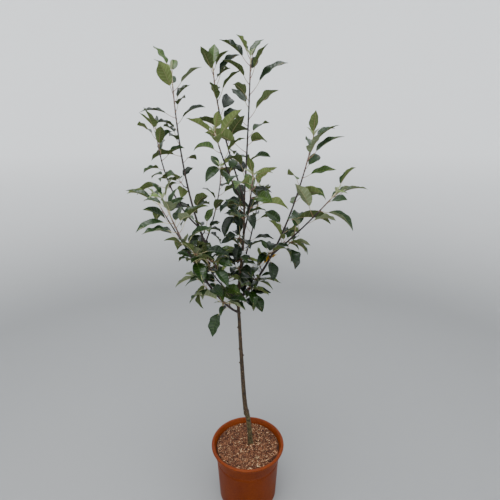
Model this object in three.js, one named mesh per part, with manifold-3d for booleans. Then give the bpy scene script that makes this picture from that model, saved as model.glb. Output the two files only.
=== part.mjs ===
// A young dwarf fruit tree, grafted on a clear stem, in a round plastic pot of compost.
// Millimetres, +Z up, origin at the centre of the pot's flat underside.
// The tree's right is +X and its back is +Y. Angles are degrees, and a heading of 0 points along +X.
import * as THREE from "three";
import { mergeVertices } from "three/addons/utils/BufferGeometryUtils.js";
import Module from "manifold-3d";

const wasm = await Module();
wasm.setup();

const gap = 0.3; // clearance between pieces that touch
const up = new THREE.Vector3(0, 0, 1);

const pot = {
  height: 240,
  lipRadius: 145,
  lipHeight: 10,
  mouthRadius: 130,
  bandHeight: 177,
  bandRadius: 125,
  bandStep: 1,
  footRadius: 115,
  footEdge: 4,
  wall: 3,
  floor: 5,
  grooveDepth: 3,
  grooveInner: 71,
  grooveOuter: 87,
  holes: 8,
  holeRadius: 6,
  sides: 40,
};
const compost = { level: 224, flatRadius: 34, rings: 3, lump: 2 };

// The trunk's centre line and radius by height: flared foot, swollen graft union, forked top.
const trunkStations = [
  { z: compost.level + gap, x: 11, y: 13, radius: 11.2 },
  { z: 234, x: 10.4, y: 13, radius: 10 },
  { z: 262, x: 9, y: 12.8, radius: 9.3 },
  { z: 340, x: 2, y: 12, radius: 8.9 },
  { z: 371, x: -5, y: 11, radius: 11.2 },
  { z: 398, x: -9, y: 10.8, radius: 9.4 },
  { z: 455, x: -14, y: 10, radius: 8.9 },
  { z: 600, x: -22, y: 8, radius: 7.6 },
  { z: 775, x: -30, y: 6, radius: 6.3 },
  { z: 860, x: -33, y: 4.5, radius: 5.9 },
  { z: 960, x: -25, y: 3, radius: 5 },
  { z: 1080, x: -13, y: 0.6, radius: 4.2 },
  { z: 1232, x: -9, y: -2, radius: 3.6 },
];
const trunkFoot = trunkStations[0].z;
const trunkTop = trunkStations.at(-1).z;

const crownSeed = 132; // where the draws of every leaf start

// Each limb leaves its parent at a height on the trunk or a share of the parent's length. Its lean
// from upright runs from the first value to the second, fast at first where ease is small, while its
// heading turns by swing. Bare wood as far as the share named bare, it is a leafy shoot from there on.
// Turn is the angle of its first leaf round the stem.
const limbs = [
  {
    name: "leader", on: "trunk", at: trunkTop, heading: -20, swing: 0, lean: [4, 2], ease: 1,
    length: 414, radii: [3.4, 2.1], bare: 0, leaves: 18, leafSize: 86, turn: 330,
  },
  {
    name: "low_left", on: "trunk", at: 806, heading: 215, swing: -2, lean: [106, 20], ease: 0.15,
    length: 512, radii: [4.4, 2], bare: 0.69, leaves: 9, leafSize: 78, turn: 90,
  },
  {
    name: "left_side", on: "low_left", at: 0.673, heading: 159, swing: -20, lean: [35, 40], ease: 0.38,
    length: 186, radii: [2.4, 1.7], bare: 0, leaves: 9, leafSize: 82, turn: 165,
  },
  {
    name: "tall_left", on: "trunk", at: 871, heading: 158, swing: -30, lean: [90, 4], ease: 0.22,
    length: 829, radii: [5.2, 2.1], bare: 0.6, leaves: 15, leafSize: 84, turn: 45,
  },
  {
    name: "far_left", on: "tall_left", at: 0.347, heading: 177, swing: -5, lean: [53, 2], ease: 0.63,
    length: 378, radii: [3.2, 2], bare: 0.42, leaves: 12, leafSize: 80, turn: 165,
  },
  {
    name: "back_left", on: "tall_left", at: 0.27, heading: 74, swing: -14, lean: [50, 1], ease: 1.29,
    length: 307, radii: [3, 1.9], bare: 0.35, leaves: 9, leafSize: 76, turn: 270,
  },
  {
    name: "mid_left", on: "trunk", at: 850, heading: 204, swing: 5, lean: [41, 8], ease: 3,
    length: 214, radii: [2.9, 1.8], bare: 0.4, leaves: 8, leafSize: 70, turn: 60,
  },
  {
    name: "top_front", on: "trunk", at: 1207, heading: 221, swing: 4, lean: [58, 20], ease: 0.26,
    length: 252, radii: [3.2, 2], bare: 0.3, leaves: 9, leafSize: 84, turn: 285,
  },
  {
    name: "top_back", on: "trunk", at: 1218, heading: 154, swing: 3, lean: [21, 4], ease: 1.71,
    length: 427, radii: [3.1, 2.2], bare: 0.25, leaves: 15, leafSize: 84, turn: 345,
  },
  {
    name: "right", on: "trunk", at: 859, heading: 1, swing: 10, lean: [75, 12], ease: 0.24,
    length: 622, radii: [4.8, 2], bare: 0.42, leaves: 15, leafSize: 94, turn: 60,
  },
  {
    name: "far_right", on: "right", at: 0.33, heading: -20, swing: -17, lean: [49, 40], ease: 0.61,
    length: 311, radii: [3.3, 1.9], bare: 0.32, leaves: 9, leafSize: 88, turn: 105,
  },
  {
    name: "front", on: "trunk", at: 1105, heading: -80, swing: 0, lean: [62, 30], ease: 0.5,
    length: 270, radii: [3.2, 1.8], bare: 0.3, leaves: 9, leafSize: 76, turn: 90,
  },
  {
    name: "back", on: "trunk", at: 965, heading: 68, swing: 0, lean: [58, 25], ease: 0.5,
    length: 330, radii: [3.4, 1.9], bare: 0.35, leaves: 10, leafSize: 76, turn: 0,
  },
];

// Short fruiting spurs on the bare wood, placed as the limbs are. Turn is the angle round the host.
const spurs = [
  { on: "low_left", at: 0.07, reach: 22, leaves: 3, leafSize: 76, turn: 135 },
  { on: "low_left", at: 0.15, reach: 30, leaves: 4, leafSize: 82, turn: 270 },
  { on: "low_left", at: 0.22, reach: 26, leaves: 4, leafSize: 82, turn: 75 },
  { on: "low_left", at: 0.29, reach: 28, leaves: 5, leafSize: 76, turn: 210 },
  { on: "low_left", at: 0.36, reach: 30, leaves: 4, leafSize: 76, turn: 165 },
  { on: "low_left", at: 0.43, reach: 70, leaves: 4, leafSize: 76, turn: 345 },
  { on: "low_left", at: 0.5, reach: 28, leaves: 4, leafSize: 76, turn: 120 },
  { on: "low_left", at: 0.57, reach: 28, leaves: 4, leafSize: 76, turn: 330 },
  { on: "low_left", at: 0.63, reach: 26, leaves: 3, leafSize: 74, turn: 120 },
  { on: "tall_left", at: 0.07, reach: 24, leaves: 4, leafSize: 74, turn: 45 },
  { on: "tall_left", at: 0.14, reach: 28, leaves: 4, leafSize: 74, turn: 255 },
  { on: "tall_left", at: 0.22, reach: 30, leaves: 5, leafSize: 74, turn: 165 },
  { on: "tall_left", at: 0.31, reach: 28, leaves: 4, leafSize: 74, turn: 345 },
  { on: "tall_left", at: 0.4, reach: 30, leaves: 4, leafSize: 76, turn: 105 },
  { on: "tall_left", at: 0.52, reach: 34, leaves: 3, leafSize: 68, turn: 180 },
  { on: "trunk", at: 838, reach: 28, leaves: 4, leafSize: 72, turn: 15 },
  { on: "trunk", at: 900, reach: 26, leaves: 4, leafSize: 68, turn: 345 },
  { on: "trunk", at: 960, reach: 26, leaves: 4, leafSize: 68, turn: 255 },
  { on: "trunk", at: 1002, reach: 26, leaves: 4, leafSize: 72, turn: 255 },
  { on: "trunk", at: 1070, reach: 28, leaves: 5, leafSize: 72, turn: 225 },
  { on: "trunk", at: 1130, reach: 28, leaves: 4, leafSize: 74, turn: 105 },
  { on: "trunk", at: 1180, reach: 28, leaves: 4, leafSize: 78, turn: 210 },
  { on: "right", at: 0.07, reach: 26, leaves: 4, leafSize: 76, turn: 270 },
  { on: "right", at: 0.14, reach: 28, leaves: 4, leafSize: 72, turn: 270 },
  { on: "right", at: 0.22, reach: 30, leaves: 4, leafSize: 72, turn: 195 },
  { on: "right", at: 0.3, reach: 34, leaves: 4, leafSize: 76, turn: 255 },
  { on: "right", at: 0.38, reach: 36, leaves: 3, leafSize: 74, turn: 345 },
  { on: "far_right", at: 0.16, reach: 36, leaves: 3, leafSize: 76, turn: 0 },
  { on: "front", at: 0.2, reach: 28, leaves: 3, leafSize: 68, turn: 135 },
  { on: "back", at: 0.2, reach: 28, leaves: 4, leafSize: 72, turn: 210 },
];

const leafShape = { thickness: 1.2, stalkRadius: 0.9, rootRadius: 0.7, guard: 0.4, tries: 6 };
const shootLeafPieces = 3; // along a blade
const spurLeafPieces = 2;

// A plain white loop tag: its head hangs on the trunk and its tail runs out behind the right bough.
const label = {
  head: { width: 19, height: 22 },
  tail: { width: 10, reach: [62, 26, -78] },
  thickness: 0.8,
  height: 1030,
  loopWidth: 1.6,
  slack: 2,
  sides: 12,
};

const trunkSides = 10;
const limbSides = 7;
const shootSides = 4;
const spurSides = 4;
const limbPieces = 24; // straight pieces in a limb's curve
const ringSpacing = 42; // along a limb
const spurRadii = [2.1, 1.3];

const bark = { color: 0x4a3229, roughness: 0.8 };
const leafGreen = { color: 0x3f5a34, roughness: 0.55 };
const terracottaPlastic = { color: 0xa8522a, roughness: 0.45 };
const compostBrown = { color: 0x5b3d2c, roughness: 1 };
const whitePlastic = { color: 0xe9ecef, roughness: 0.4 };

function radians(degrees) {
  return THREE.MathUtils.degToRad(degrees);
}

// A stream of even numbers from 0 to 1 for one leaf or twig.
function draws(seed, index) {
  let state = (seed * 7919 + index * 104729 + 17) % 2147483647;
  const next = () => {
    state = (state * 16807) % 2147483647;
    return state / 2147483647;
  };
  next();
  next();
  next();
  return next;
}

// ---- Lines

// A station's value at height z, by a smooth cubic between the stations.
function trunkValue(z, key) {
  const s = trunkStations;
  const last = s.length - 1;
  const i = Math.max(0, Math.min(last - 1, s.findIndex((station) => station.z >= z) - 1));
  const slope = (k) => {
    const a = s[Math.max(0, k - 1)];
    const b = s[Math.min(last, k + 1)];
    return (b[key] - a[key]) / (b.z - a.z);
  };
  const span = s[i + 1].z - s[i].z;
  const w = THREE.MathUtils.clamp((z - s[i].z) / span, 0, 1);
  const w2 = w * w;
  const w3 = w2 * w;
  return (
    (2 * w3 - 3 * w2 + 1) * s[i][key] +
    (w3 - 2 * w2 + w) * span * slope(i) +
    (3 * w2 - 2 * w3) * s[i + 1][key] +
    (w3 - w2) * span * slope(i + 1)
  );
}

function trunkPoint(z) {
  return new THREE.Vector3(trunkValue(z, "x"), trunkValue(z, "y"), z);
}

function limbLine(start, limb) {
  const points = [start.clone()];
  for (let i = 0; i < limbPieces; i += 1) {
    const share = (i + 0.5) / limbPieces;
    const heading = radians(limb.heading + limb.swing * share);
    const lean = radians(limb.lean[0] + (limb.lean[1] - limb.lean[0]) * share ** limb.ease);
    const step = new THREE.Vector3(
      Math.sin(lean) * Math.cos(heading),
      Math.sin(lean) * Math.sin(heading),
      Math.cos(lean),
    );
    points.push(points[i].clone().addScaledVector(step, limb.length / limbPieces));
  }
  return points;
}

function pointAt(line, share) {
  const place = THREE.MathUtils.clamp(share, 0, 1) * (line.length - 1);
  const i = Math.min(Math.floor(place), line.length - 2);
  return line[i].clone().lerp(line[i + 1], place - i);
}

function directionAt(line, share) {
  const i = Math.min(Math.floor(THREE.MathUtils.clamp(share, 0, 1) * (line.length - 1)), line.length - 2);
  return line[i + 1].clone().sub(line[i]).normalize();
}

// The direction square to an axis, at an angle round it.
function around(axis, angle) {
  const first = new THREE.Vector3(1, 0, 0).addScaledVector(axis, -axis.x).normalize();
  const second = new THREE.Vector3().crossVectors(axis, first);
  const turn = radians(angle);
  return first.multiplyScalar(Math.cos(turn)).addScaledVector(second, Math.sin(turn));
}

// ---- Solids

// A closed skin over rings of points, each ring counter-clockwise about the way the loft runs.
function loft(rings, first, last) {
  const sides = rings[0].length;
  const points = [first, ...rings.flat(), last];
  const end = points.length - 1;
  const index = [];
  for (let j = 0; j < sides; j += 1) {
    const next = (j + 1) % sides;
    index.push(0, 1 + next, 1 + j);
    for (let i = 0; i + 1 < rings.length; i += 1) {
      const low = 1 + i * sides;
      const high = low + sides;
      index.push(low + j, low + next, high + next);
      index.push(low + j, high + next, high + j);
    }
    const top = 1 + (rings.length - 1) * sides;
    index.push(top + j, top + next, end);
  }
  return new THREE.BufferGeometry().setFromPoints(points).setIndex(index);
}

// A round tapering rod along points. Its rings lie square to it, or level for an upright one.
function tube(points, radii, sides, level = false) {
  let normal = around(points[1].clone().sub(points[0]).normalize(), 0);
  const rings = points.map((point, i) => {
    const before = points[Math.max(0, i - 1)];
    const after = points[Math.min(points.length - 1, i + 1)];
    const tangent = level ? up : after.clone().sub(before).normalize();
    normal = normal.clone().addScaledVector(tangent, -normal.dot(tangent)).normalize();
    const second = new THREE.Vector3().crossVectors(tangent, normal);
    return Array.from({ length: sides }, (_, j) => {
      const turn = (2 * Math.PI * j) / sides;
      return point
        .clone()
        .addScaledVector(normal, radii[i] * Math.cos(turn))
        .addScaledVector(second, radii[i] * Math.sin(turn));
    });
  });
  return loft(rings, points[0], points.at(-1));
}

function solidOf(geometry) {
  const bare = geometry.clone();
  bare.deleteAttribute("normal");
  bare.deleteAttribute("uv");
  const merged = mergeVertices(bare, 1e-4);
  return new wasm.Manifold(
    new wasm.Mesh({
      numProp: 3,
      vertProperties: new Float32Array(merged.attributes.position.array),
      triVerts: new Uint32Array(merged.index.array),
    }),
  );
}

function meshOf(name, solid, finish) {
  const { numProp, vertProperties, triVerts } = solid.getMesh();
  const points = [];
  for (let i = 0; i < vertProperties.length; i += numProp) {
    points.push(new THREE.Vector3(...vertProperties.subarray(i, i + 3)));
  }
  const geometry = new THREE.BufferGeometry().setFromPoints(points).setIndex([...triVerts]);
  geometry.computeVertexNormals();
  const mesh = new THREE.Mesh(geometry, new THREE.MeshStandardMaterial(finish));
  mesh.name = name;
  return mesh;
}

// Solids already placed, which a new leaf must keep clear of.
const placed = [];

function place(solid, stem) {
  placed.push({ solid, stem, box: solid.boundingBox() });
}

function boxesMeet(a, b) {
  return [0, 1, 2].every((k) => a.min[k] < b.max[k] && b.min[k] < a.max[k]);
}

// A leaf grows out of its own stem, so only the rest of its stalk and its blade are held against that
// stem and its other leaves.
function isClear(leaf, stem) {
  const whole = leafSolid(leaf, 0, gap);
  const beyond = leafSolid(leaf, leafShape.guard, gap);
  const box = whole.boundingBox();
  return placed.every((other) => {
    const tested = other.stem === stem ? beyond : whole;
    return !boxesMeet(box, other.box) || tested.intersect(other.solid).volume() < 1e-6;
  });
}

// ---- Pot, compost and label

function turned(profile, sides = pot.sides) {
  const points = profile.map(([radius, z]) => new THREE.Vector2(radius, z));
  return new THREE.LatheGeometry(points, sides).rotateX(Math.PI / 2);
}

function innerRadius(z) {
  const foot = pot.footRadius - pot.wall - 0.5;
  const mouth = pot.mouthRadius - pot.wall;
  const share = (z - pot.floor) / (pot.height - pot.lipHeight - pot.floor);
  return foot + (mouth - foot) * THREE.MathUtils.clamp(share, 0, 1);
}

function makePot() {
  const underLip = pot.height - pot.lipHeight;
  const body = solidOf(
    turned([
      [0, 0],
      [pot.grooveInner, 0],
      [pot.grooveInner + 1, pot.grooveDepth],
      [pot.grooveOuter - 1, pot.grooveDepth],
      [pot.grooveOuter, 0],
      [pot.footRadius - pot.footEdge, 0],
      [pot.footRadius - 1.2, 1.2],
      [pot.footRadius, pot.footEdge],
      [pot.bandRadius, pot.bandHeight - 1],
      [pot.bandRadius + pot.bandStep, pot.bandHeight + 1],
      [pot.mouthRadius, underLip - 1],
      [pot.lipRadius - 2, underLip],
      [pot.lipRadius, underLip + 2],
      [pot.lipRadius, pot.height - 3.5],
      [pot.lipRadius - 1.2, pot.height - 1],
      [pot.lipRadius - 3.5, pot.height],
      [pot.mouthRadius + 4, pot.height],
      [pot.mouthRadius + 1, pot.height - 1.5],
      [pot.mouthRadius - 0.5, pot.height - 4],
      [innerRadius(underLip), underLip - 2],
      [innerRadius(pot.floor) + 0.5, pot.floor + 3],
      [innerRadius(pot.floor) - 3, pot.floor],
      [0, pot.floor],
    ]),
  );
  let drained = body;
  for (let i = 0; i < pot.holes; i += 1) {
    const turn = (2 * Math.PI * (i + 0.5)) / pot.holes;
    const middle = (pot.grooveInner + pot.grooveOuter) / 2;
    const hole = new THREE.CylinderGeometry(pot.holeRadius, pot.holeRadius, 4 * pot.floor, 12)
      .rotateX(Math.PI / 2)
      .translate(middle * Math.cos(turn), middle * Math.sin(turn), 0);
    drained = drained.subtract(solidOf(hole));
  }
  return drained;
}

// Compost lies level where the trunk stands and is lumpy from there to the wall.
function makeCompost() {
  const low = pot.floor + gap;
  const edge = innerRadius(compost.level) - gap;
  const profile = [
    [0, low],
    [innerRadius(low) - 4, low],
    [innerRadius(low) - gap, low + 4],
    [edge, compost.level - 1.5],
  ];
  for (let i = 0; i < compost.rings; i += 1) {
    const share = (i + 1) / (compost.rings + 1);
    profile.push([edge + (compost.flatRadius - edge) * share, compost.level]);
  }
  profile.push([compost.flatRadius, compost.level], [0, compost.level]);
  const geometry = turned(profile);
  const position = geometry.getAttribute("position");
  for (let i = 0; i < position.count; i += 1) {
    const x = position.getX(i);
    const y = position.getY(i);
    const out = Math.hypot(x, y);
    if (position.getZ(i) === compost.level && out > compost.flatRadius + 1 && out < edge - 1) {
      const lump = Math.sin(x * 0.21 + 1.3) * Math.cos(y * 0.17) + 0.5 * Math.sin((x + 2 * y) * 0.11);
      position.setZ(i, compost.level + compost.lump * 0.6 * lump);
    }
  }
  return solidOf(geometry);
}

function makeLabel() {
  const centre = trunkPoint(label.height);
  const inner = trunkValue(label.height, "radius") + label.slack;
  const outer = inner + label.loopWidth;
  const band = label.head.height / 2;
  const loop = solidOf(
    turned(
      [
        [inner, -band],
        [outer, -band],
        [outer, band],
        [inner, band],
        [inner, -band],
      ],
      label.sides,
    ),
  );
  const head = solidOf(
    new THREE.BoxGeometry(label.head.width, label.thickness, label.head.height).translate(
      0,
      -outer,
      0,
    ),
  );
  const reach = new THREE.Vector3(...label.tail.reach);
  const tail = solidOf(
    new THREE.BoxGeometry(reach.length(), label.thickness, label.tail.width)
      .translate(reach.length() / 2, 0, 0)
      .applyQuaternion(
        new THREE.Quaternion().setFromUnitVectors(
          new THREE.Vector3(1, 0, 0),
          reach.clone().normalize(),
        ),
      )
      .translate(label.head.width / 2 - 3, -outer, 0),
  );
  return loop.add(head).add(tail).translate(centre.x, centre.y, centre.z);
}

// ---- Wood

function trunkWood(extra = 0) {
  const points = [];
  const radii = [];
  for (let i = 0; i < trunkStations.length; i += 1) {
    const low = trunkStations[i].z;
    const high = trunkStations[Math.min(i + 1, trunkStations.length - 1)].z;
    const pieces = Math.max(1, Math.ceil((high - low) / (2 * ringSpacing)));
    for (let k = 0; k < pieces; k += 1) {
      const z = low + ((high - low) * k) / pieces;
      points.push(trunkPoint(z));
      radii.push(trunkValue(z, "radius") + extra);
    }
  }
  return solidOf(tube(points, radii, trunkSides, true));
}

function wood(stem, from, to, sides, extra = 0) {
  const length = stem.line[0].distanceTo(stem.line[1]) * (stem.line.length - 1);
  const pieces = 2 * Math.ceil(((to - from) * length) / (2 * ringSpacing));
  const points = [];
  const radii = [];
  for (let i = 0; i <= pieces; i += 1) {
    const share = from + ((to - from) * i) / pieces;
    points.push(pointAt(stem.line, share));
    radii.push(THREE.MathUtils.lerp(stem.radii[0], stem.radii[1], share) + extra);
  }
  return solidOf(tube(points, radii, sides));
}

// Where a piece of wood leaves its host: the point and direction on the host's centre line, and the
// host made fatter by the gap, which the piece's end is cut to.
function seatOf({ on, at }) {
  if (on === "trunk") {
    const axis = trunkPoint(at + 1).sub(trunkPoint(at - 1)).normalize();
    return { point: trunkPoint(at), axis, cleared: stems.trunk.cleared };
  }
  const host = stems[on];
  return { point: pointAt(host.line, at), axis: directionAt(host.line, at), cleared: host.cleared };
}

// ---- Leaves

// A leaf's half width along its length, as a share of the widest.
function leafOutline(share) {
  return Math.sin(Math.PI * share ** 0.8) ** 0.8;
}

// The leaf of a shoot or spur at a share of its stem. Number 0 is the oldest and lowest one. Its
// stalk stands off the stem at the angle named open, and its blade arches over and folds along the rib.
function growLeaf(stem, number, attempt) {
  const random = draws(stem.seed * (number + 2), attempt + 1);
  const order = (number + 0.6 * (random() - 0.5)) / Math.max(1, stem.leaves - 1);
  const age = THREE.MathUtils.clamp(1 - order, 0, 1);
  const share = stem.firstLeaf + (stem.lastLeaf - stem.firstLeaf) * (1 - age ** stem.crowding);
  const axis = directionAt(stem.line, share);
  const root = pointAt(stem.line, share);
  const spread = 120 + 30 * attempt;
  const out = around(axis, stem.turn + 137.5 * number + spread * (random() - 0.5));
  let open;
  let arch;
  let droop;
  let growth;
  let slimness;
  if (stem.isSpur) {
    open = 44 + 26 * age + 34 * (random() - 0.5);
    arch = 16 + 50 * random();
    droop = 34 * random();
    growth = 0.9;
    slimness = 0.46;
  } else {
    open = 24 + 38 * age ** 0.6 + 30 * (random() - 0.5);
    arch = 6 + 26 * age + 34 * random();
    droop = 14 * age * random();
    growth = 0.8 + 0.2 * Math.min(1, 3 * age);
    slimness = 0.37;
  }
  const length = stem.leafSize * growth * (0.8 + 0.4 * random());
  const width = length * (slimness + 0.15 * random());
  const stalk = length * (0.28 + 0.24 * random());
  const roll = radians(80 * (random() - 0.5));
  const fold = radians(12 + 26 * random());
  const aim = axis
    .clone()
    .multiplyScalar(Math.cos(radians(open)))
    .addScaledVector(out, Math.sin(radians(open)))
    .normalize();
  const level = Math.hypot(aim.x, aim.y) < 0.2 ? out : aim;
  const ahead = new THREE.Vector3(level.x, level.y, 0).normalize();
  const rise = Math.asin(aim.z) - radians(droop) / 2;
  const base = root.clone().addScaledVector(aim, stalk);
  const pieces = stem.isSpur ? spurLeafPieces : shootLeafPieces;
  return { root, base, aim, ahead, rise, arch: radians(arch), roll, fold, length, width, pieces };
}

// The place and frame at a share of the blade's midrib, which is an arc in an upright plane.
function ribFrame(leaf, share) {
  const rise = leaf.rise - leaf.arch * share;
  const radius = leaf.length / leaf.arch;
  const across = new THREE.Vector3().crossVectors(leaf.ahead, up);
  const lift = up.clone().multiplyScalar(Math.cos(rise)).addScaledVector(leaf.ahead, -Math.sin(rise));
  return {
    point: leaf.base
      .clone()
      .addScaledVector(leaf.ahead, radius * (Math.sin(leaf.rise) - Math.sin(rise)))
      .addScaledVector(up, radius * (Math.cos(rise) - Math.cos(leaf.rise))),
    side: across
      .clone()
      .multiplyScalar(Math.cos(leaf.roll))
      .addScaledVector(lift, Math.sin(leaf.roll)),
    normal: lift.multiplyScalar(Math.cos(leaf.roll)).addScaledVector(across, -Math.sin(leaf.roll)),
  };
}

// A leaf is one four-sided loft: a thin stalk that starts at a share of its length, then a flat blade
// with its rib as the thick of it, running out to a point. Extra makes it bigger all round.
function leafSolid(leaf, from, extra = 0) {
  const { thickness, stalkRadius, rootRadius } = leafShape;
  const across = new THREE.Vector3().crossVectors(leaf.aim, up).normalize();
  const above = new THREE.Vector3().crossVectors(across, leaf.aim);
  const ring = (centre, side, normal, half, raised, thick) => [
    centre.clone().addScaledVector(side, half + extra).addScaledVector(normal, raised),
    centre.clone().addScaledVector(normal, -thick - extra),
    centre.clone().addScaledVector(side, -half - extra).addScaledVector(normal, raised),
    centre.clone().addScaledVector(normal, thick + extra),
  ];
  const start = leaf.root.clone().lerp(leaf.base, from);
  const foot = ribFrame(leaf, 0);
  const rings = [
    ring(start, across, above, rootRadius, 0, rootRadius),
    ring(leaf.base, foot.side, foot.normal, stalkRadius, 0, stalkRadius),
  ];
  for (let i = 1; i < leaf.pieces; i += 1) {
    const share = i / leaf.pieces;
    const { point, side, normal } = ribFrame(leaf, share);
    const half = (leaf.width / 2) * leafOutline(share);
    const raised = half * Math.sin(leaf.fold);
    rings.push(ring(point, side, normal, half * Math.cos(leaf.fold), raised, thickness / 2));
  }
  return solidOf(loft(rings, start, ribFrame(leaf, 1).point));
}

// Leaves are added one by one. One that touches anything already placed is drawn again, a few times,
// and then skipped.
function leafOut(stem) {
  let solid = stem.solid;
  for (let number = 0; number < stem.leaves; number += 1) {
    for (let attempt = 0; attempt < leafShape.tries; attempt += 1) {
      const leaf = growLeaf(stem, number, attempt);
      if (isClear(leaf, stem)) {
        const whole = leafSolid(leaf, 0);
        place(whole, stem);
        solid = solid.add(whole);
        break;
      }
    }
  }
  return solid;
}

// ---- The whole plant

const group = new THREE.Group();

function addPiece(name, solid, finish) {
  group.add(meshOf(name, solid, finish));
}

const potSolid = makePot();
const compostSolid = makeCompost();
const labelSolid = makeLabel();
const stems = { trunk: { solid: trunkWood(), cleared: trunkWood(gap) } };
addPiece("pot", potSolid, terracottaPlastic);
addPiece("compost", compostSolid, compostBrown);
addPiece("trunk", stems.trunk.solid, bark);
addPiece("label", labelSolid, whitePlastic);
[potSolid, compostSolid, stems.trunk.solid, labelSolid].forEach((solid) => place(solid));

const shoots = [];
for (const limb of limbs) {
  const seat = seatOf(limb);
  const stem = { ...limb, line: limbLine(seat.point, limb) };
  if (limb.bare > 0) {
    const bough = wood(stem, 0, limb.bare, limbSides).subtract(seat.cleared);
    stem.cleared = wood(stem, 0, limb.bare, limbSides, gap);
    addPiece(limb.name + "_bough", bough, bark);
    place(bough);
  }
  const start = limb.bare + gap / limb.length;
  const leafy = wood(stem, start, 1, shootSides);
  stem.solid = limb.bare > 0 || limb.at === trunkTop ? leafy : leafy.subtract(seat.cleared);
  stem.firstLeaf = limb.bare + 0.03;
  stem.lastLeaf = 0.985;
  stem.crowding = 1.35;
  stem.node = limb.name + "_shoot";
  stems[limb.name] = stem;
  shoots.push(stem);
}

const spurCounts = {};
for (const spur of spurs) {
  const { point, axis, cleared } = seatOf(spur);
  const lean = around(axis, spur.turn).addScaledVector(up, 0.5).addScaledVector(axis, 0.25).normalize();
  const tip = lean.clone().addScaledVector(up, 0.35).normalize();
  const line = [
    point,
    point.clone().addScaledVector(lean, spur.reach / 2),
    point.clone().addScaledVector(tip, spur.reach),
  ];
  spurCounts[spur.on] = (spurCounts[spur.on] ?? 0) + 1;
  const stem = { ...spur, line, radii: spurRadii, isSpur: true };
  stem.solid = wood(stem, 0, 1, spurSides).subtract(cleared);
  stem.firstLeaf = 0.45;
  stem.lastLeaf = 0.96;
  stem.crowding = 1;
  stem.node = spur.on + "_spur_" + spurCounts[spur.on];
  shoots.push(stem);
}

shoots.forEach((stem, order) => {
  stem.seed = crownSeed * 50 + order + 1;
  place(stem.solid, stem);
});
for (const stem of shoots) {
  addPiece(stem.node, leafOut(stem), leafGreen);
}

export default group;
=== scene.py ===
import bpy
import math
import numpy as np
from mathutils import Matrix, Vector, noise


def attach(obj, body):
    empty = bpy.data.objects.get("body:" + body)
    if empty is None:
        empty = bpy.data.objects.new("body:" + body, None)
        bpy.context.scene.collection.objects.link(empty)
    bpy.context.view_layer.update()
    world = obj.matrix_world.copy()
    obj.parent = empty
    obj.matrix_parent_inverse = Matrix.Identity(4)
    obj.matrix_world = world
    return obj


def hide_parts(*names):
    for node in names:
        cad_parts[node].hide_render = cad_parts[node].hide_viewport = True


# A young grafted dwarf fruit tree in a terracotta-coloured plastic pot, dressed over its solids.
# Growth is worked out in millimetres, and mm turns it into metres.
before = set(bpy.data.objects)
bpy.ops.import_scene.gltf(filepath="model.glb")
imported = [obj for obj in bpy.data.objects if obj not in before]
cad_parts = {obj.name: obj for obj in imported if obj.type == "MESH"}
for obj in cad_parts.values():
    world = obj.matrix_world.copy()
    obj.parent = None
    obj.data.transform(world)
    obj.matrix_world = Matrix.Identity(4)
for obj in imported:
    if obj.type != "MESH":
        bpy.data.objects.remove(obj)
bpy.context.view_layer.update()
mm = 0.001
up = Vector((0, 0, 1))
print("frame loaded,", len(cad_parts), "nodes")


# The camera, in metres and degrees.
view = {"place": (0.0094, -1.248, 1.396), "pitchDown": 15.8, "lens": 27.04}
bpy.ops.object.camera_add(
    location=view["place"], rotation=(math.radians(90 - view["pitchDown"]), 0, 0)
)
camera = bpy.context.object
camera.data.lens = view["lens"]
bpy.context.scene.camera = camera


# Helpers for numbers and lines.
def between(ends, share):
    return ends[0] + (ends[1] - ends[0]) * share


def clamp(value):
    return min(1, max(0, value))


def pick(draw, value):  # a pair is a range to draw from, and a plain number stays as it is
    return between(value, draw()) if isinstance(value, tuple) else value


def around(axis, angle):  # the direction square to an axis, at an angle round it
    first = (Vector((1, 0, 0)) - axis * axis.x).normalized()
    second = axis.cross(first)
    turn = math.radians(angle)
    return first * math.cos(turn) + second * math.sin(turn)


def leanOut(axis, out, angle):  # a direction that leans outwards from an axis, and its level heading
    turn = math.radians(angle)
    aim = (axis * math.cos(turn) + out * math.sin(turn)).normalized()
    level = out if math.hypot(aim.x, aim.y) < 0.2 else aim
    return aim, Vector((level.x, level.y, 0)).normalized()


def arc(centre, radius, start, end, steps):  # a round stretch of a profile, angles from outwards up
    return [
        (centre[0] + radius * math.cos(math.radians(a)), centre[1] + radius * math.sin(math.radians(a)))
        for a in (start + (end - start) * i / steps for i in range(steps + 1))
    ]


def stepsFrom(corner, *steps):  # points of a profile at small steps from a corner
    return [(corner[0] + across, corner[1] + rise) for across, rise in steps]


# Helpers for meshes.
def onlySelect(piece):
    bpy.ops.object.select_all(action="DESELECT")
    piece.select_set(True)
    bpy.context.view_layer.objects.active = piece


def applyAll(piece):
    onlySelect(piece)
    for modifier in list(piece.modifiers):
        bpy.ops.object.modifier_apply(modifier=modifier.name)


def smoothShade(piece, angle=40):
    onlySelect(piece)
    bpy.ops.object.shade_smooth_by_angle(angle=math.radians(angle))


def dress(piece, material):
    piece.data.materials.clear()
    piece.data.materials.append(material)


def spinProfile(name, profile, steps):  # profile holds (radius, height) in metres
    bpy.ops.mesh.primitive_circle_add(vertices=3, radius=profile[0][0] + mm)
    piece = bpy.context.object
    piece.name = name
    piece.data.name = name
    mesh = piece.data
    mesh.clear_geometry()
    edges = [(i, i + 1) for i in range(len(profile) - 1)]
    mesh.from_pydata([(radius, 0, height) for radius, height in profile], edges, [])
    onlySelect(piece)
    bpy.ops.object.mode_set(mode="EDIT")
    bpy.ops.mesh.select_all(action="SELECT")
    bpy.ops.mesh.spin(steps=steps, angle=2 * math.pi, center=(0, 0, 0), axis=(0, 0, 1))
    bpy.ops.mesh.select_all(action="SELECT")
    bpy.ops.mesh.remove_doubles(threshold=0.02 * mm)
    bpy.ops.mesh.normals_make_consistent(inside=False)
    bpy.ops.object.mode_set(mode="OBJECT")
    return piece


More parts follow.
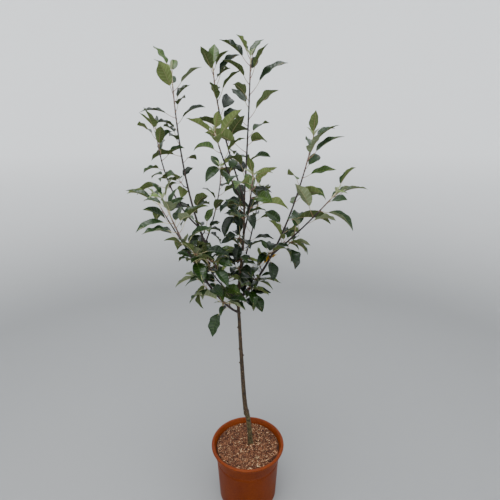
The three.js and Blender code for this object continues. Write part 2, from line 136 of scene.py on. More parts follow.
def newHeap():  # many small forms that end up as one mesh, in millimetres
    return {"points": [], "faces": [], "finishes": []}


def addTo(heap, points, faces, finish=0):
    first = len(heap["points"])
    heap["points"].extend(points)
    heap["faces"].extend(tuple(first + i for i in face) for face in faces)
    heap["finishes"].extend(finish if isinstance(finish, list) else [finish] * len(faces))


def pieceFrom(name, heap, materials, smooth=True):
    mesh = bpy.data.meshes.new(name)
    mesh.from_pydata([point * mm for point in heap["points"]], [], heap["faces"])
    for material in materials:
        mesh.materials.append(material)
    mesh.polygons.foreach_set("material_index", np.array(heap["finishes"], np.int32))
    mesh.polygons.foreach_set("use_smooth", np.full(len(mesh.polygons), smooth))
    mesh.validate()
    piece = bpy.data.objects.new(name, mesh)
    bpy.context.collection.objects.link(piece)
    return piece


def finishPiece(piece, slot, *nodes):
    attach(piece, "root")
    if nodes:
        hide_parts(*nodes)
    print("made", piece.name, len(piece.data.polygons), "faces")


def ringFaces(count, sides):  # the faces between rings of points that follow one another
    faces = []
    for i in range(count - 1):
        for j in range(sides):
            k = (j + 1) % sides
            faces.append((i * sides + j, i * sides + k, (i + 1) * sides + k, (i + 1) * sides + j))
    return faces


# A round skin over a line: one ring at each point. Relief adds to a ring's radius by ring and angle.
def skinLine(points, radii, sides, relief=None, level=False):
    rings = []
    normal = around((points[1] - points[0]).normalized(), 0)
    for i, point in enumerate(points):
        before = points[max(0, i - 1)]
        after = points[min(len(points) - 1, i + 1)]
        tangent = up if level else (after - before).normalized()
        normal = (normal - tangent * normal.dot(tangent)).normalized()
        second = tangent.cross(normal)
        for j in range(sides):
            turn = 2 * math.pi * j / sides
            out = normal * math.cos(turn) + second * math.sin(turn)
            extra = relief(i, point, out) if relief else 0
            rings.append(point + out * (radii[i] + extra))
    faces = ringFaces(len(points), sides)
    low = len(rings)
    rings.extend([points[0], points[-1]])
    top = (len(points) - 1) * sides
    for j in range(sides):
        k = (j + 1) % sides
        faces.append((low, k, j))
        faces.append((low + 1, top + j, top + k))
    return rings, faces


# Helpers for materials.
def paint(red, green, blue):  # a colour, given 0 to 255, as Blender's linear colour
    return tuple((c / 255) ** 2.2 for c in (red, green, blue))


def setInputs(tree, node, inputs):  # an input takes another node's output, a number or a colour
    for name, value in inputs.items():
        socket = node.inputs[name]
        if isinstance(value, bpy.types.NodeSocket):
            tree.links.new(value, socket)
        else:
            socket.default_value = (*value, 1) if socket.type == "RGBA" else value


def addNode(tree, kind, inputs, **settings):
    node = tree.nodes.new(kind)
    for name, value in settings.items():
        setattr(node, name, value)
    setInputs(tree, node, inputs)
    return node


def useGroup(tree, group, **values):
    return addNode(tree, "ShaderNodeGroup", values, node_tree=group)


def startMaterial(name, colour, roughness):
    material = bpy.data.materials.new(name)
    material.use_nodes = True
    tree = material.node_tree
    shader = tree.nodes["Principled BSDF"]
    setInputs(tree, shader, {"Base Color": colour, "Roughness": roughness})
    return material, tree, shader


def objectPlace(tree):
    return tree.nodes.new("ShaderNodeTexCoord").outputs["Object"]


def objectHeight(tree):
    return addNode(tree, "ShaderNodeSeparateXYZ", {"Vector": objectPlace(tree)}).outputs[2]


def calculate(tree, operation, a, b):
    return addNode(tree, "ShaderNodeMath", {0: a, 1: b}, operation=operation).outputs[0]


def mapRange(tree, value, low, high, first=0, last=1):  # low to high becomes first to last
    inputs = {"Value": value, "From Min": low, "From Max": high, "To Min": first, "To Max": last}
    return addNode(tree, "ShaderNodeMapRange", inputs).outputs[0]


def mixColours(tree, share, first, second):
    return addNode(tree, "ShaderNodeMix", {0: share, 6: first, 7: second}, data_type="RGBA").outputs[2]


def addBump(tree, shader, height, strength, distance):
    inputs = {"Height": height, "Strength": strength, "Distance": distance}
    bump = addNode(tree, "ShaderNodeBump", inputs)
    tree.links.new(bump.outputs[0], shader.inputs["Normal"])


def newGroup(name, inputs, outputs):
    group = bpy.data.node_groups.new(name, "ShaderNodeTree")
    for socket, kind, value in inputs:
        made = group.interface.new_socket(socket, in_out="INPUT", socket_type=kind)
        made.default_value = value
    for socket, kind in outputs:
        group.interface.new_socket(socket, in_out="OUTPUT", socket_type=kind)
    return group, group.nodes.new("NodeGroupInput").outputs, group.nodes.new("NodeGroupOutput").inputs


def makeMottle():  # soft patches between two colours
    group, given, out = newGroup(
        "mottle",
        [("Size", "NodeSocketFloat", 60.0), ("Spread", "NodeSocketFloat", 0.25),
         ("First", "NodeSocketColor", (0, 0, 0, 1)), ("Second", "NodeSocketColor", (1, 1, 1, 1))],
        [("Colour", "NodeSocketColor"), ("Mask", "NodeSocketFloat")],
    )
    cloud = addNode(
        group, "ShaderNodeTexNoise", {"Vector": objectPlace(group), "Scale": given["Size"], "Detail": 4}
    )
    low = calculate(group, "SUBTRACT", 0.5, given["Spread"])
    high = calculate(group, "ADD", 0.5, given["Spread"])
    mask = mapRange(group, cloud.outputs["Fac"], low, high)
    group.links.new(mixColours(group, mask, given["First"], given["Second"]), out["Colour"])
    group.links.new(mask, out["Mask"])
    return group


def makeGrain():  # fine uneven relief
    group, given, out = newGroup(
        "fineGrain", [("Size", "NodeSocketFloat", 400.0)], [("Height", "NodeSocketFloat")]
    )
    inputs = {"Vector": objectPlace(group), "Scale": given["Size"], "Detail": 6, "Roughness": 0.6}
    fine = addNode(group, "ShaderNodeTexNoise", inputs)
    group.links.new(fine.outputs["Fac"], out["Height"])
    return group


def makeBarkSkin():  # lengthwise furrows with small pale breathing pores
    group, given, out = newGroup(
        "barkSkin",
        [("Furrows", "NodeSocketFloat", 500.0), ("Pores", "NodeSocketFloat", 170.0),
         ("PoreSize", "NodeSocketFloat", 0.17)],
        [("Height", "NodeSocketFloat"), ("PoreMask", "NodeSocketFloat")],
    )
    where = objectPlace(group)
    long = addNode(group, "ShaderNodeMapping", {"Vector": where, "Scale": (1, 1, 0.16)})
    flat = addNode(group, "ShaderNodeMapping", {"Vector": where, "Scale": (0.7, 0.7, 1.5)})
    inputs = {"Vector": long.outputs[0], "Scale": given["Furrows"], "Detail": 5}
    furrows = addNode(group, "ShaderNodeTexNoise", inputs)
    pores = addNode(
        group, "ShaderNodeTexVoronoi", {"Vector": flat.outputs[0], "Scale": given["Pores"]}
    )
    mask = calculate(group, "LESS_THAN", pores.outputs["Distance"], given["PoreSize"])
    height = calculate(group, "ADD", furrows.outputs["Fac"], calculate(group, "MULTIPLY", mask, 0.8))
    group.links.new(height, out["Height"])
    group.links.new(mask, out["PoreMask"])
    return group


mottle = makeMottle()
fineGrain = makeGrain()
barkSkin = makeBarkSkin()


grainy = {"spread": 0.2, "roughness": 0.95, "grain": 900.0, "bump": (0.6, 0.0006)}


def makeGrainy(name, first, second, size, roughness=grainy["roughness"]):  # two colours and a fine grain
    material, tree, shader = startMaterial(name, first, roughness)
    patches = useGroup(tree, mottle, Size=size, Spread=grainy["spread"], First=first, Second=second)
    tree.links.new(patches.outputs["Colour"], shader.inputs["Base Color"])
    grain = useGroup(tree, fineGrain, Size=grainy["grain"])
    addBump(tree, shader, grain.outputs["Height"], *grainy["bump"])
    return material


# Floor, backdrop and light, in metres and watts.
studio = {
    "radius": 3.3, "cove": 1.0, "coveSteps": 12, "height": 3.4, "sides": 96,
    "floor": paint(140, 141, 142), "wall": paint(250, 251, 252), "wallTop": 1.3, "roughness": 0.85,
    "world": (0.94, 0.975, 1.0), "worldStrength": 1.55,
    "lamps": {
        "skyLight": {"size": 1.5, "power": 62, "place": (-0.4, -0.5, 3.3), "aim": (-0.4, -0.5, 0)},
        "frontLight": {"size": 2.0, "power": 26, "place": (-0.9, -2.7, 2.1), "aim": (0, 0, 1.1)},
        "sideLight": {"size": 1.6, "power": 17, "place": (2.5, -1.5, 1.9), "aim": (0, 0, 0.9)},
    },
}


def makeStage():
    radius, cove = studio["radius"], studio["cove"]
    bend = arc((radius - cove, cove), cove, -90, 0, studio["coveSteps"])
    stage = spinProfile("studioFloor", [(0, 0), *bend, (radius, studio["height"])], studio["sides"])
    stage.data.flip_normals()
    smoothShade(stage)
    material, tree, shader = startMaterial("paleFloor", studio["floor"], studio["roughness"])
    # The colour runs from the grey floor up to the white wall at wallTop, so the lower wall is painted
    # darker: painted shade of light falling from above.
    rise = mapRange(tree, objectHeight(tree), 0, studio["wallTop"])
    setInputs(tree, shader, {"Base Color": mixColours(tree, rise, studio["floor"], studio["wall"])})
    stage.data.materials.append(material)


def makeLight():
    for name, lamp in studio["lamps"].items():
        bpy.ops.object.light_add(type="AREA", location=lamp["place"])
        light = bpy.context.object
        light.name = name
        light.data.size = lamp["size"]
        light.data.energy = lamp["power"]
        reach = Vector(lamp["aim"]) - Vector(lamp["place"])
        light.rotation_euler = reach.to_track_quat("-Z", "Y").to_euler()
    world = bpy.data.worlds.new("softWorld")
    bpy.context.scene.world = world
    world.use_nodes = True
    inputs = {"Color": studio["world"], "Strength": studio["worldStrength"]}
    setInputs(world.node_tree, world.node_tree.nodes["Background"], inputs)


makeStage()
makeLight()
print("stage and light ready")


# How the tree grows, by the solids' own rule. Lengths are in millimetres and angles in degrees.
trunkStations = [  # height, x, y, radius
    (224.3, 11, 13, 11.4), (234, 10.4, 13, 10), (262, 9, 12.8, 9.4), (340, 2, 12, 9),
    (371, -5, 11, 11.2), (398, -9, 10.8, 9.4), (455, -14, 10, 8.9), (600, -22, 8, 7.6),
    (775, -30, 6, 6.3), (860, -33, 4.5, 5.9), (960, -25, 3, 5), (1080, -13, 0.6, 4.2),
    (1232, -9, -2, 3.6),
]

# Each limb leaves its parent at a height on the trunk or a share of the parent's length. Its lean
# from upright runs from the first value to the second while its heading turns by swing. It is bare
# wood as far as the share named bare, and a leafy shoot from there on. Leaves is how many leaves the
# shoot may have, leafSize the usual length of a blade, and turn the angle of the first leaf round it.
limbColumns = (
    "name", "on", "at", "heading", "swing", "lean", "ease", "length", "radii", "bare",
    "leaves", "leafSize", "turn",
)
limbRows = [
    ("leader", "trunk", 1232, -20, 0, (4, 2), 1, 414, (3.4, 2.1), 0, 18, 86, 330),
    ("low_left", "trunk", 806, 215, -2, (106, 20), 0.15, 512, (4.4, 2), 0.69, 9, 78, 90),
    ("left_side", "low_left", 0.673, 159, -20, (35, 40), 0.38, 186, (2.4, 1.7), 0, 9, 82, 165),
    ("tall_left", "trunk", 871, 158, -30, (90, 4), 0.22, 829, (5.2, 2.1), 0.6, 15, 84, 45),
    ("far_left", "tall_left", 0.347, 177, -5, (53, 2), 0.63, 378, (3.2, 2), 0.42, 12, 80, 165),
    ("back_left", "tall_left", 0.27, 74, -14, (50, 1), 1.29, 307, (3, 1.9), 0.35, 9, 76, 270),
    ("mid_left", "trunk", 850, 204, 5, (41, 8), 3, 214, (2.9, 1.8), 0.4, 8, 70, 60),
    ("top_front", "trunk", 1207, 221, 4, (58, 20), 0.26, 252, (3.2, 2), 0.3, 9, 84, 285),
    ("top_back", "trunk", 1218, 154, 3, (21, 4), 1.71, 427, (3.1, 2.2), 0.25, 15, 84, 345),
    ("right", "trunk", 859, 1, 10, (75, 12), 0.24, 622, (4.8, 2), 0.42, 15, 94, 60),
    ("far_right", "right", 0.33, -20, -17, (49, 40), 0.61, 311, (3.3, 1.9), 0.32, 9, 88, 105),
    ("front", "trunk", 1105, -80, 0, (62, 30), 0.5, 270, (3.2, 1.8), 0.3, 9, 76, 90),
    ("back", "trunk", 965, 68, 0, (58, 25), 0.5, 330, (3.4, 1.9), 0.35, 10, 76, 0),
]
spurColumns = ("at", "length", "leaves", "leafSize", "turn")
spurRows = {  # short fruiting spurs by the limb that carries them, at a height or a share as above
    "low_left": [
        (0.07, 22, 3, 76, 135), (0.15, 30, 4, 82, 270), (0.22, 26, 4, 82, 75),
        (0.29, 28, 5, 76, 210), (0.36, 30, 4, 76, 165), (0.43, 70, 4, 76, 345),
        (0.5, 28, 4, 76, 120), (0.57, 28, 4, 76, 330), (0.63, 26, 3, 74, 120),
    ],
    "tall_left": [
        (0.07, 24, 4, 74, 45), (0.14, 28, 4, 74, 255), (0.22, 30, 5, 74, 165),
        (0.31, 28, 4, 74, 345), (0.4, 30, 4, 76, 105), (0.52, 34, 3, 68, 180),
    ],
    "trunk": [
        (838, 28, 4, 72, 15), (900, 26, 4, 68, 345), (960, 26, 4, 68, 255),
        (1002, 26, 4, 72, 255), (1070, 28, 5, 72, 225), (1130, 28, 4, 74, 105),
        (1180, 28, 4, 78, 210),
    ],
    "right": [
        (0.07, 26, 4, 76, 270), (0.14, 28, 4, 72, 270), (0.22, 30, 4, 72, 195),
        (0.3, 34, 4, 76, 255), (0.38, 36, 3, 74, 345),
    ],
    "far_right": [(0.16, 36, 3, 76, 0)],
    "front": [(0.2, 28, 3, 68, 135)],
    "back": [(0.2, 28, 4, 72, 210)],
}

growth = {
    "crownSeed": 132, "seedsPerCrown": 50, "limbPieces": 24, "spurRadii": (2.1, 1.3), "tries": 6,
    "leafAngle": 137.5, "wander": 120, "wanderMore": 30, "ageWander": 0.6, "tipMatch": 0.1,
    "shootCrowding": 1.35, "shootFirst": 0.03, "shootLast": 0.985, "spurLeafy": (0.45, 0.96),
    "spurRise": 0.5, "spurAlong": 0.25, "spurTipRise": 0.35,
    "lengths": (0.8, 1.2), "widths": (0, 0.15), "stalks": (0.28, 0.52), "rolls": (-40, 40),
    "folds": (12, 38),
}
leafHabits = {  # spread and arch: the least, what age adds and what chance adds; pairs: the least and age
    "spur": {
        "spread": (44, 26, 34), "agePower": 1, "arch": (16, 0, 50), "droop": (34, 0),
        "grown": (0.9, 0), "slimness": 0.46,
    },
    "shoot": {
        "spread": (24, 38, 30), "agePower": 0.6, "arch": (6, 26, 34), "droop": (0, 14),
        "grown": (0.8, 0.2), "slimness": 0.37,
    },
}


def draws(seed, index):  # a stream of even numbers from 0 to 1
    state = (seed * 7919 + index * 104729 + 17) % 2147483647

    def nextDraw():
        nonlocal state
        state = state * 16807 % 2147483647
        return state / 2147483647

    for _ in range(3):
        nextDraw()
    return nextDraw


def trunkValue(z, key):
    s = trunkStations
    last = len(s) - 1
    above = next((k for k, station in enumerate(s) if station[0] >= z), 0)
    i = max(0, min(last - 1, above - 1))

    def slope(k):
        a = s[max(0, k - 1)]
        b = s[min(last, k + 1)]
        return (b[key] - a[key]) / (b[0] - a[0])

    span = s[i + 1][0] - s[i][0]
    w = clamp((z - s[i][0]) / span)
    w2 = w * w
    w3 = w2 * w
    return (
        (2 * w3 - 3 * w2 + 1) * s[i][key]
        + (w3 - 2 * w2 + w) * span * slope(i)
        + (3 * w2 - 2 * w3) * s[i + 1][key]
        + (w3 - w2) * span * slope(i + 1)
    )


def trunkPoint(z):
    return Vector((trunkValue(z, 1), trunkValue(z, 2), z))


def limbLine(start, limb):
    points = [start.copy()]
    pieces = growth["limbPieces"]
    for i in range(pieces):
        share = (i + 0.5) / pieces
        heading = math.radians(limb["heading"] + limb["swing"] * share)
        lean = math.radians(between(limb["lean"], share ** limb["ease"]))
        step = Vector((
            math.sin(lean) * math.cos(heading), math.sin(lean) * math.sin(heading), math.cos(lean)
        ))
        points.append(points[-1] + step * (limb["length"] / pieces))
    return points


def pointAt(line, share):
    place = clamp(share) * (len(line) - 1)
    i = min(int(place), len(line) - 2)
    return line[i].lerp(line[i + 1], place - i)


def directionAt(line, share):
    i = min(int(clamp(share) * (len(line) - 1)), len(line) - 2)
    return (line[i + 1] - line[i]).normalized()


# The leaf of a shoot or spur. Number 0 is the oldest and lowest one. Its stalk stands off the stem
# at the angle named spread, and its blade arches over and folds along the rib.
def growLeaf(stem, number, attempt):
    draw = draws(stem["seed"] * (number + 2), attempt + 1)
    habit = leafHabits["spur" if stem["isSpur"] else "shoot"]
    late = number + growth["ageWander"] * (draw() - 0.5)
    age = clamp(1 - late / max(1, stem["leaves"] - 1))
    share = between(stem["leafy"], 1 - age ** stem["crowding"])
    axis = directionAt(stem["line"], share)
    wander = growth["wander"] + growth["wanderMore"] * attempt
    out = around(axis, stem["turn"] + growth["leafAngle"] * number + wander * (draw() - 0.5))
    least, aged, chance = habit["spread"]
    spread = least + aged * age ** habit["agePower"] + chance * (draw() - 0.5)
    least, aged, chance = habit["arch"]
    arch = least + aged * age + chance * draw()
    droop = (habit["droop"][0] + habit["droop"][1] * age) * draw()
    grown = habit["grown"][0] + habit["grown"][1] * min(1, 3 * age)
    length = stem["leafSize"] * grown * pick(draw, growth["lengths"])
    width = length * (habit["slimness"] + pick(draw, growth["widths"]))
    reach = length * pick(draw, growth["stalks"])
    roll = math.radians(pick(draw, growth["rolls"]))
    fold = math.radians(pick(draw, growth["folds"]))
    aim, ahead = leanOut(axis, out, spread)
    root = pointAt(stem["line"], share)
    return {
        "root": root, "base": root + aim * reach, "out": out, "axis": axis, "share": share,
        "ahead": ahead, "rise": math.asin(aim.z) - math.radians(droop) / 2,
        "arch": math.radians(arch), "roll": roll, "fold": fold,
        "length": length, "width": width, "age": age, "number": number,
        "key": stem["seed"] * 31 + number,
    }


def ribFrame(leaf, share):  # point, side and upper face direction at a share of the rib's arc
    rise = leaf["rise"] - leaf["arch"] * share
    radius = leaf["length"] / leaf["arch"]
    across = leaf["ahead"].cross(up)
    lift = up * math.cos(rise) - leaf["ahead"] * math.sin(rise)
    point = (
        leaf["base"]
        + leaf["ahead"] * (radius * (math.sin(leaf["rise"]) - math.sin(rise)))
        + up * (radius * (math.cos(rise) - math.cos(leaf["rise"])))
    )
    return point, *turned(across, lift, leaf["roll"])


def turned(side, normal, angle):  # a side and a normal turned about the line that they stand on
    return (
        side * math.cos(angle) + normal * math.sin(angle),
        normal * math.cos(angle) - side * math.sin(angle),
    )


# The solid of a mass holds only the leaves that found room, so a leaf stands where its tip is found.
def leavesOf(stem):
    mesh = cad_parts[stem["node"]].data
    corners = np.empty(len(mesh.vertices) * 3, np.float32)
    mesh.vertices.foreach_get("co", corners)
    corners = corners.reshape(-1, 3) / mm
    found = []
    for number in range(stem["leaves"]):
        for attempt in range(growth["tries"]):
            leaf = growLeaf(stem, number, attempt)
            tip = np.array(ribFrame(leaf, 1)[0])
            if np.abs(corners - tip).max(axis=1).min() < growth["tipMatch"]:
                found.append(leaf)
                break
    return found


def spurLine(host, line, spur):
    if host == "trunk":
        point = trunkPoint(spur["at"])
        axis = (trunkPoint(spur["at"] + 1) - trunkPoint(spur["at"] - 1)).normalized()
    else:
        point = pointAt(line, spur["at"])
        axis = directionAt(line, spur["at"])
    out = around(axis, spur["turn"])
    lean = (out + up * growth["spurRise"] + axis * growth["spurAlong"]).normalized()
    tip = (lean + up * growth["spurTipRise"]).normalized()
    return [point, point + lean * (spur["length"] / 2), point + tip * spur["length"]]


def growTree():
    limbs = {"trunk": {"line": None}}
    shoots = []
    for row in limbRows:
        limb = dict(zip(limbColumns, row))
        host = limb["on"]
        start = trunkPoint(limb["at"]) if host == "trunk" else pointAt(limbs[host]["line"], limb["at"])
        limb.update({
            "line": limbLine(start, limb), "isSpur": False, "bearer": limb["name"],
            "leafy": (limb["bare"] + growth["shootFirst"], growth["shootLast"]),
            "crowding": growth["shootCrowding"], "node": limb["name"] + "_shoot",
        })
        limbs[limb["name"]] = limb
        shoots.append(limb)
    for host, rows in spurRows.items():
        for count, row in enumerate(rows, 1):
            spur = dict(zip(spurColumns, row))
            shoots.append({
                **spur, "line": spurLine(host, limbs[host]["line"], spur), "isSpur": True,
                "bearer": host, "leafy": growth["spurLeafy"], "crowding": 1, "bare": 0,
                "radii": growth["spurRadii"], "node": host + "_spur_" + str(count),
            })
    for order, stem in enumerate(shoots):
        stem["seed"] = growth["crownSeed"] * growth["seedsPerCrown"] + order + 1
        stem["grown"] = leavesOf(stem)
    return shoots


shoots = growTree()
leafCount = sum(len(stem["grown"]) for stem in shoots)
print("tree grown:", len(limbRows), "limbs,", len(shoots), "masses,", leafCount, "leaves")


# Pot, in millimetres.
pot = {
    "sides": 144, "lipTop": 240, "lipRadius": 145, "lipDrop": 10, "lipRoll": 5, "mouth": 130, "wall": 3,
    "bandHeight": 177, "bandRadius": 125, "beading": 1.7, "footRadius": 115, "corner": 4, "floor": 5,
    "groove": (71, 87), "grooveDepth": 3, "holes": 8, "holeRadius": 6, "holeSides": 24,
    "colour": paint(90, 33, 0), "dusty": paint(112, 50, 8), "gloss": 0.16,
    "speck": paint(78, 32, 4), "paleSpeck": paint(124, 62, 18), "speckShare": 0.22,
    "roughness": (0.38, 0.56), "patchSize": 9.0, "speckSize": 150.0, "grain": 650.0, "bump": (0.25, 0.0004),
}


def innerRadius(z):
    foot = pot["footRadius"] - pot["wall"] - 0.5
    share = (z - pot["floor"]) / (pot["lipTop"] - pot["lipDrop"] - pot["floor"])
    return between((foot, pot["mouth"] - pot["wall"]), clamp(share))


def potProfile():  # from the middle of the underside up the outer wall, over the lip and down inside
    top, lip, roll = pot["lipTop"], pot["lipRadius"], pot["lipRoll"]
    under = top - pot["lipDrop"]
    foot, floor, corner, depth = pot["footRadius"], pot["floor"], pot["corner"], pot["grooveDepth"]
    inner, outer = pot["groove"]
    band = (pot["bandRadius"], pot["bandHeight"])
    mouth = (pot["mouth"], under)
    return [
        (0, 0), (inner - 1, 0), (inner, 0.4), (inner + 1, depth),
        (outer - 1, depth), (outer, 0.4), (outer + 1, 0),
        *arc((foot - corner, corner), corner, -90, 0, 6),
        (foot + 0.3, 12),
        # a fine groove under a small round step
        *stepsFrom(band, (-0.8, -14), (-0.1, -3.4), (-0.8, -2.2), (-0.8, -1.2)),
        *arc((band[0] - 0.1, band[1] + 1), pot["beading"], -70, 60, 6),
        *stepsFrom(band, (1.7, 7)),
        *stepsFrom(mouth, (-0.9, -8), (0.3, -2.5), (2.4, -0.2)),
        (lip - 6, under + 0.2),
        *arc((lip - roll, top - roll), roll, -80, 90, 14),
        *arc((lip - roll - 2.4, top - roll), roll, 90, 160, 6),
        *stepsFrom((mouth[0], top), (1, -7), (-1, -11)),
        (innerRadius(under) + 0.2, under - 4), (innerRadius(120), 120), (innerRadius(20), 20),
        *arc((innerRadius(8) - corner, floor + corner), corner, 0, -90, 5),
        (0, floor),
    ]


def makePot():
    shell = spinProfile("potShell", [(r * mm, z * mm) for r, z in potProfile()], pot["sides"])
    middle = sum(pot["groove"]) / 2 * mm
    for i in range(pot["holes"]):  # drain holes
        turn = 2 * math.pi * (i + 0.5) / pot["holes"]
        bpy.ops.mesh.primitive_cylinder_add(
            vertices=pot["holeSides"], radius=pot["holeRadius"] * mm, depth=4 * pot["floor"] * mm,
            location=(middle * math.cos(turn), middle * math.sin(turn), 0),
        )
        drill = bpy.context.object
        cut = shell.modifiers.new("drain", "BOOLEAN")
        cut.object = drill
        cut.solver = "EXACT"
        applyAll(shell)
        bpy.data.objects.remove(drill)
    smoothShade(shell, 35)
    return shell


def makePotPlastic():
    material, tree, shader = startMaterial("terracottaPlastic", pot["colour"], pot["roughness"][0])
    patches = useGroup(
        tree, mottle, Size=pot["patchSize"], Spread=0.3, First=pot["colour"], Second=pot["dusty"]
    )
    specks = useGroup(
        tree, mottle, Size=pot["speckSize"], Spread=0.12, First=pot["speck"], Second=pot["paleSpeck"]
    )
    colours = [group.outputs["Colour"] for group in (patches, specks)]
    setInputs(tree, shader, {
        "Base Color": mixColours(tree, pot["speckShare"], *colours),
        "Roughness": mapRange(tree, patches.outputs["Mask"], 0, 1, *pot["roughness"]),
        "Specular IOR Level": pot["gloss"],
    })
    grain = useGroup(tree, fineGrain, Size=pot["grain"])
    addBump(tree, shader, grain.outputs["Height"], *pot["bump"])
    return material


potShell = makePot()
dress(potShell, makePotPlastic())
finishPiece(potShell, "pot_plastic", "pot")


# Compost, in millimetres and degrees.
compost = {
    "level": 224, "sides": 160, "rings": 46, "gap": 0.3, "sunk": 1.0, "settle": 14,
    "lumps": ((0.035, 1.92), (0.11, 1.2)), "crumbs": (0.45, 0.9),  # how close together, and how high
    "chips": 7600, "chipLength": (4, 15), "chipWidth": (1.1, 3.4), "chipThickness": (0.5, 1.3),
    "chipTilt": (-22, 22), "chipBank": (-40, 40), "chipTaper": ((0.45, 1.0), (0.35, 1.0)),
    "chipLift": (0.4, 2.3), "chipShades": (0.36, 0.72, 0.94), "wallGap": 2.5,
    "stemGap": 9.5, "edgeDrop": 3.2, "edgeReach": 8,
    "hollows": [(27, 7, 7, 6.5), (0, 3, 5, 6)],  # x, y, depth, reach: beside the foot of the stem
    "earth": paint(44, 26, 17), "earthLight": paint(76, 48, 33), "earthPatches": 260.0,
    "chipColours": {  # two for each finish, from the commonest to the rarest
        "chipDark": (paint(48, 27, 18), paint(66, 40, 27)),
        "chipBrown": (paint(90, 53, 35), paint(112, 70, 47)),
        "chipTan": (paint(136, 88, 60), paint(158, 108, 76)),
        "chipPale": (paint(206, 168, 124), paint(226, 194, 150)),
    },
    "chipPatches": 180.0,
}


def bedHeight(x, y):  # uneven top of the compost
    place = Vector((x, y, 0))
    edge = innerRadius(compost["level"]) - math.hypot(x, y)
    rough = sum(high * noise.noise(place * close) for close, high in compost["lumps"])
    dip = compost["edgeDrop"] * max(0, 1 - edge / compost["edgeReach"]) ** 1.5
    for hollowX, hollowY, depth, reach in compost["hollows"]:
        dip += depth * math.exp(-((x - hollowX) ** 2 + (y - hollowY) ** 2) / reach**2)
    return compost["level"] - compost["sunk"] + rough * clamp(edge / compost["settle"]) - dip


def makeBed():
    level, gap, rings = compost["level"], compost["gap"], compost["rings"]
    edge = innerRadius(level) - gap
    low = pot["floor"] + gap
    profile = [(0, low), (innerRadius(low) - 5, low), (innerRadius(low) - 1, low + 5)]
    profile += [(innerRadius(120) - gap, 120), (edge, level - 6)]
    profile += [(edge * (1 - i / rings), level) for i in range(1, rings + 1)]
    bed = spinProfile("compostBed", [(r * mm, z * mm) for r, z in profile], compost["sides"])
    close, high = compost["crumbs"]
    for vertex in bed.data.vertices:
        if vertex.co.z > (level - 0.5) * mm:
            x, y = vertex.co.x / mm, vertex.co.y / mm
            vertex.co.z = (bedHeight(x, y) + high * noise.noise(Vector((x, y, 5)) * close)) * mm
    smoothShade(bed, 60)
    return bed


def sliver(place, length, width, thick, heading, tilt, bank, taper):  # a torn bark chip, eight corners
    ahead = Vector((math.cos(heading) * math.cos(tilt), math.sin(heading) * math.cos(tilt), math.sin(tilt)))
    side = Vector((-math.sin(heading), math.cos(heading), 0))
    lift = side.cross(ahead)
    side = side * math.cos(bank) + lift * math.sin(bank)
    lift = ahead.cross(side)
    corners = []
    for end, grow in zip((-0.5, 0.5), taper):
        middle = place + ahead * (end * length)
        for across, high in ((-0.5, -0.5), (0.5, -0.5), (0.5, 0.5), (-0.5, 0.5)):
            corners.append(middle + side * (across * width * grow) + lift * (high * thick * grow))
    faces = [(0, 3, 2, 1), (4, 5, 6, 7), (0, 1, 5, 4), (1, 2, 6, 5), (2, 3, 7, 6), (3, 0, 4, 7)]
    return corners, faces


def chipHasRoom(x, y, half, heading):  # clear of the pot's wall, the stem and the hollows
    edge = innerRadius(compost["level"]) - compost["wallGap"]
    foot = trunkPoint(compost["level"])
    ahead, aside = half * math.cos(heading), half * math.sin(heading)
    clear = all(math.hypot(x + k * ahead, y + k * aside) < edge for k in (-1, 1))
    clear = clear and math.hypot(x - foot.x, y - foot.y) > compost["stemGap"] + half * 0.5
    return clear and all(math.hypot(x - h[0], y - h[1]) > h[3] * 0.7 for h in compost["hollows"])


def makeChips():
    heap = newHeap()
    draw = draws(4021, 3)
    edge = innerRadius(compost["level"]) - compost["wallGap"]
    made = 0
    while made < compost["chips"]:
        reach = edge * math.sqrt(draw())
        turn = 2 * math.pi * draw()
        x, y = reach * math.cos(turn), reach * math.sin(turn)
        size = draw() ** 1.7
        length = between(compost["chipLength"], size)
        heading = 2 * math.pi * draw()
        width = between(compost["chipWidth"], draw() * size**0.5)
        thick = pick(draw, compost["chipThickness"])
        tilt = math.radians(pick(draw, compost["chipTilt"]))
        bank = math.radians(pick(draw, compost["chipBank"]))
        taper = [pick(draw, ends) for ends in compost["chipTaper"]]
        place = Vector((x, y, bedHeight(x, y) + pick(draw, compost["chipLift"])))
        shade = draw()
        if not chipHasRoom(x, y, length / 2, heading):
            continue
        finish = sum(shade >= limit for limit in compost["chipShades"])
        addTo(heap, *sliver(place, length, width, thick, heading, tilt, bank, taper), finish)
        made += 1
    return heap


compostBed = makeBed()
dress(
    compostBed,
    makeGrainy("earth", compost["earth"], compost["earthLight"], compost["earthPatches"]),
)
finishPiece(compostBed, "compost", "compost")
chipFinishes = [
    makeGrainy(name, *colours, compost["chipPatches"]) for name, colours in compost["chipColours"].items()
]
finishPiece(pieceFrom("compostChips", makeChips(), chipFinishes, smooth=False), "compost")


# Bark. Furrows and size say how close together the furrows and the patches of colour stand.
barks = {
    "trunkBark": {"dark": paint(32, 23, 11), "light": paint(70, 53, 32), "pore": paint(132, 112, 82),
                  "furrows": 520.0, "size": 70.0, "roughness": 0.7},
    "boughBark": {"dark": paint(22, 13, 11), "light": paint(48, 34, 29), "pore": paint(130, 108, 88),
                  "furrows": 620.0, "size": 70.0, "roughness": 0.6},
    "youngBark": {"dark": paint(18, 10, 9), "light": paint(42, 28, 25), "pore": paint(126, 104, 86),
                  "furrows": 700.0, "size": 120.0, "roughness": 0.52},
    "spurBark": {"dark": paint(70, 60, 38), "light": paint(104, 90, 60), "pore": paint(140, 128, 96),
                 "furrows": 700.0, "size": 120.0, "roughness": 0.7},
    "bloomBark": {"dark": paint(78, 58, 52), "light": paint(116, 97, 88), "pore": paint(150, 132, 114),
                  "furrows": 700.0, "size": 120.0, "roughness": 0.65},
}


barkLook = {"spread": 0.2, "pores": 0.75, "bump": (0.7, 0.0007)}


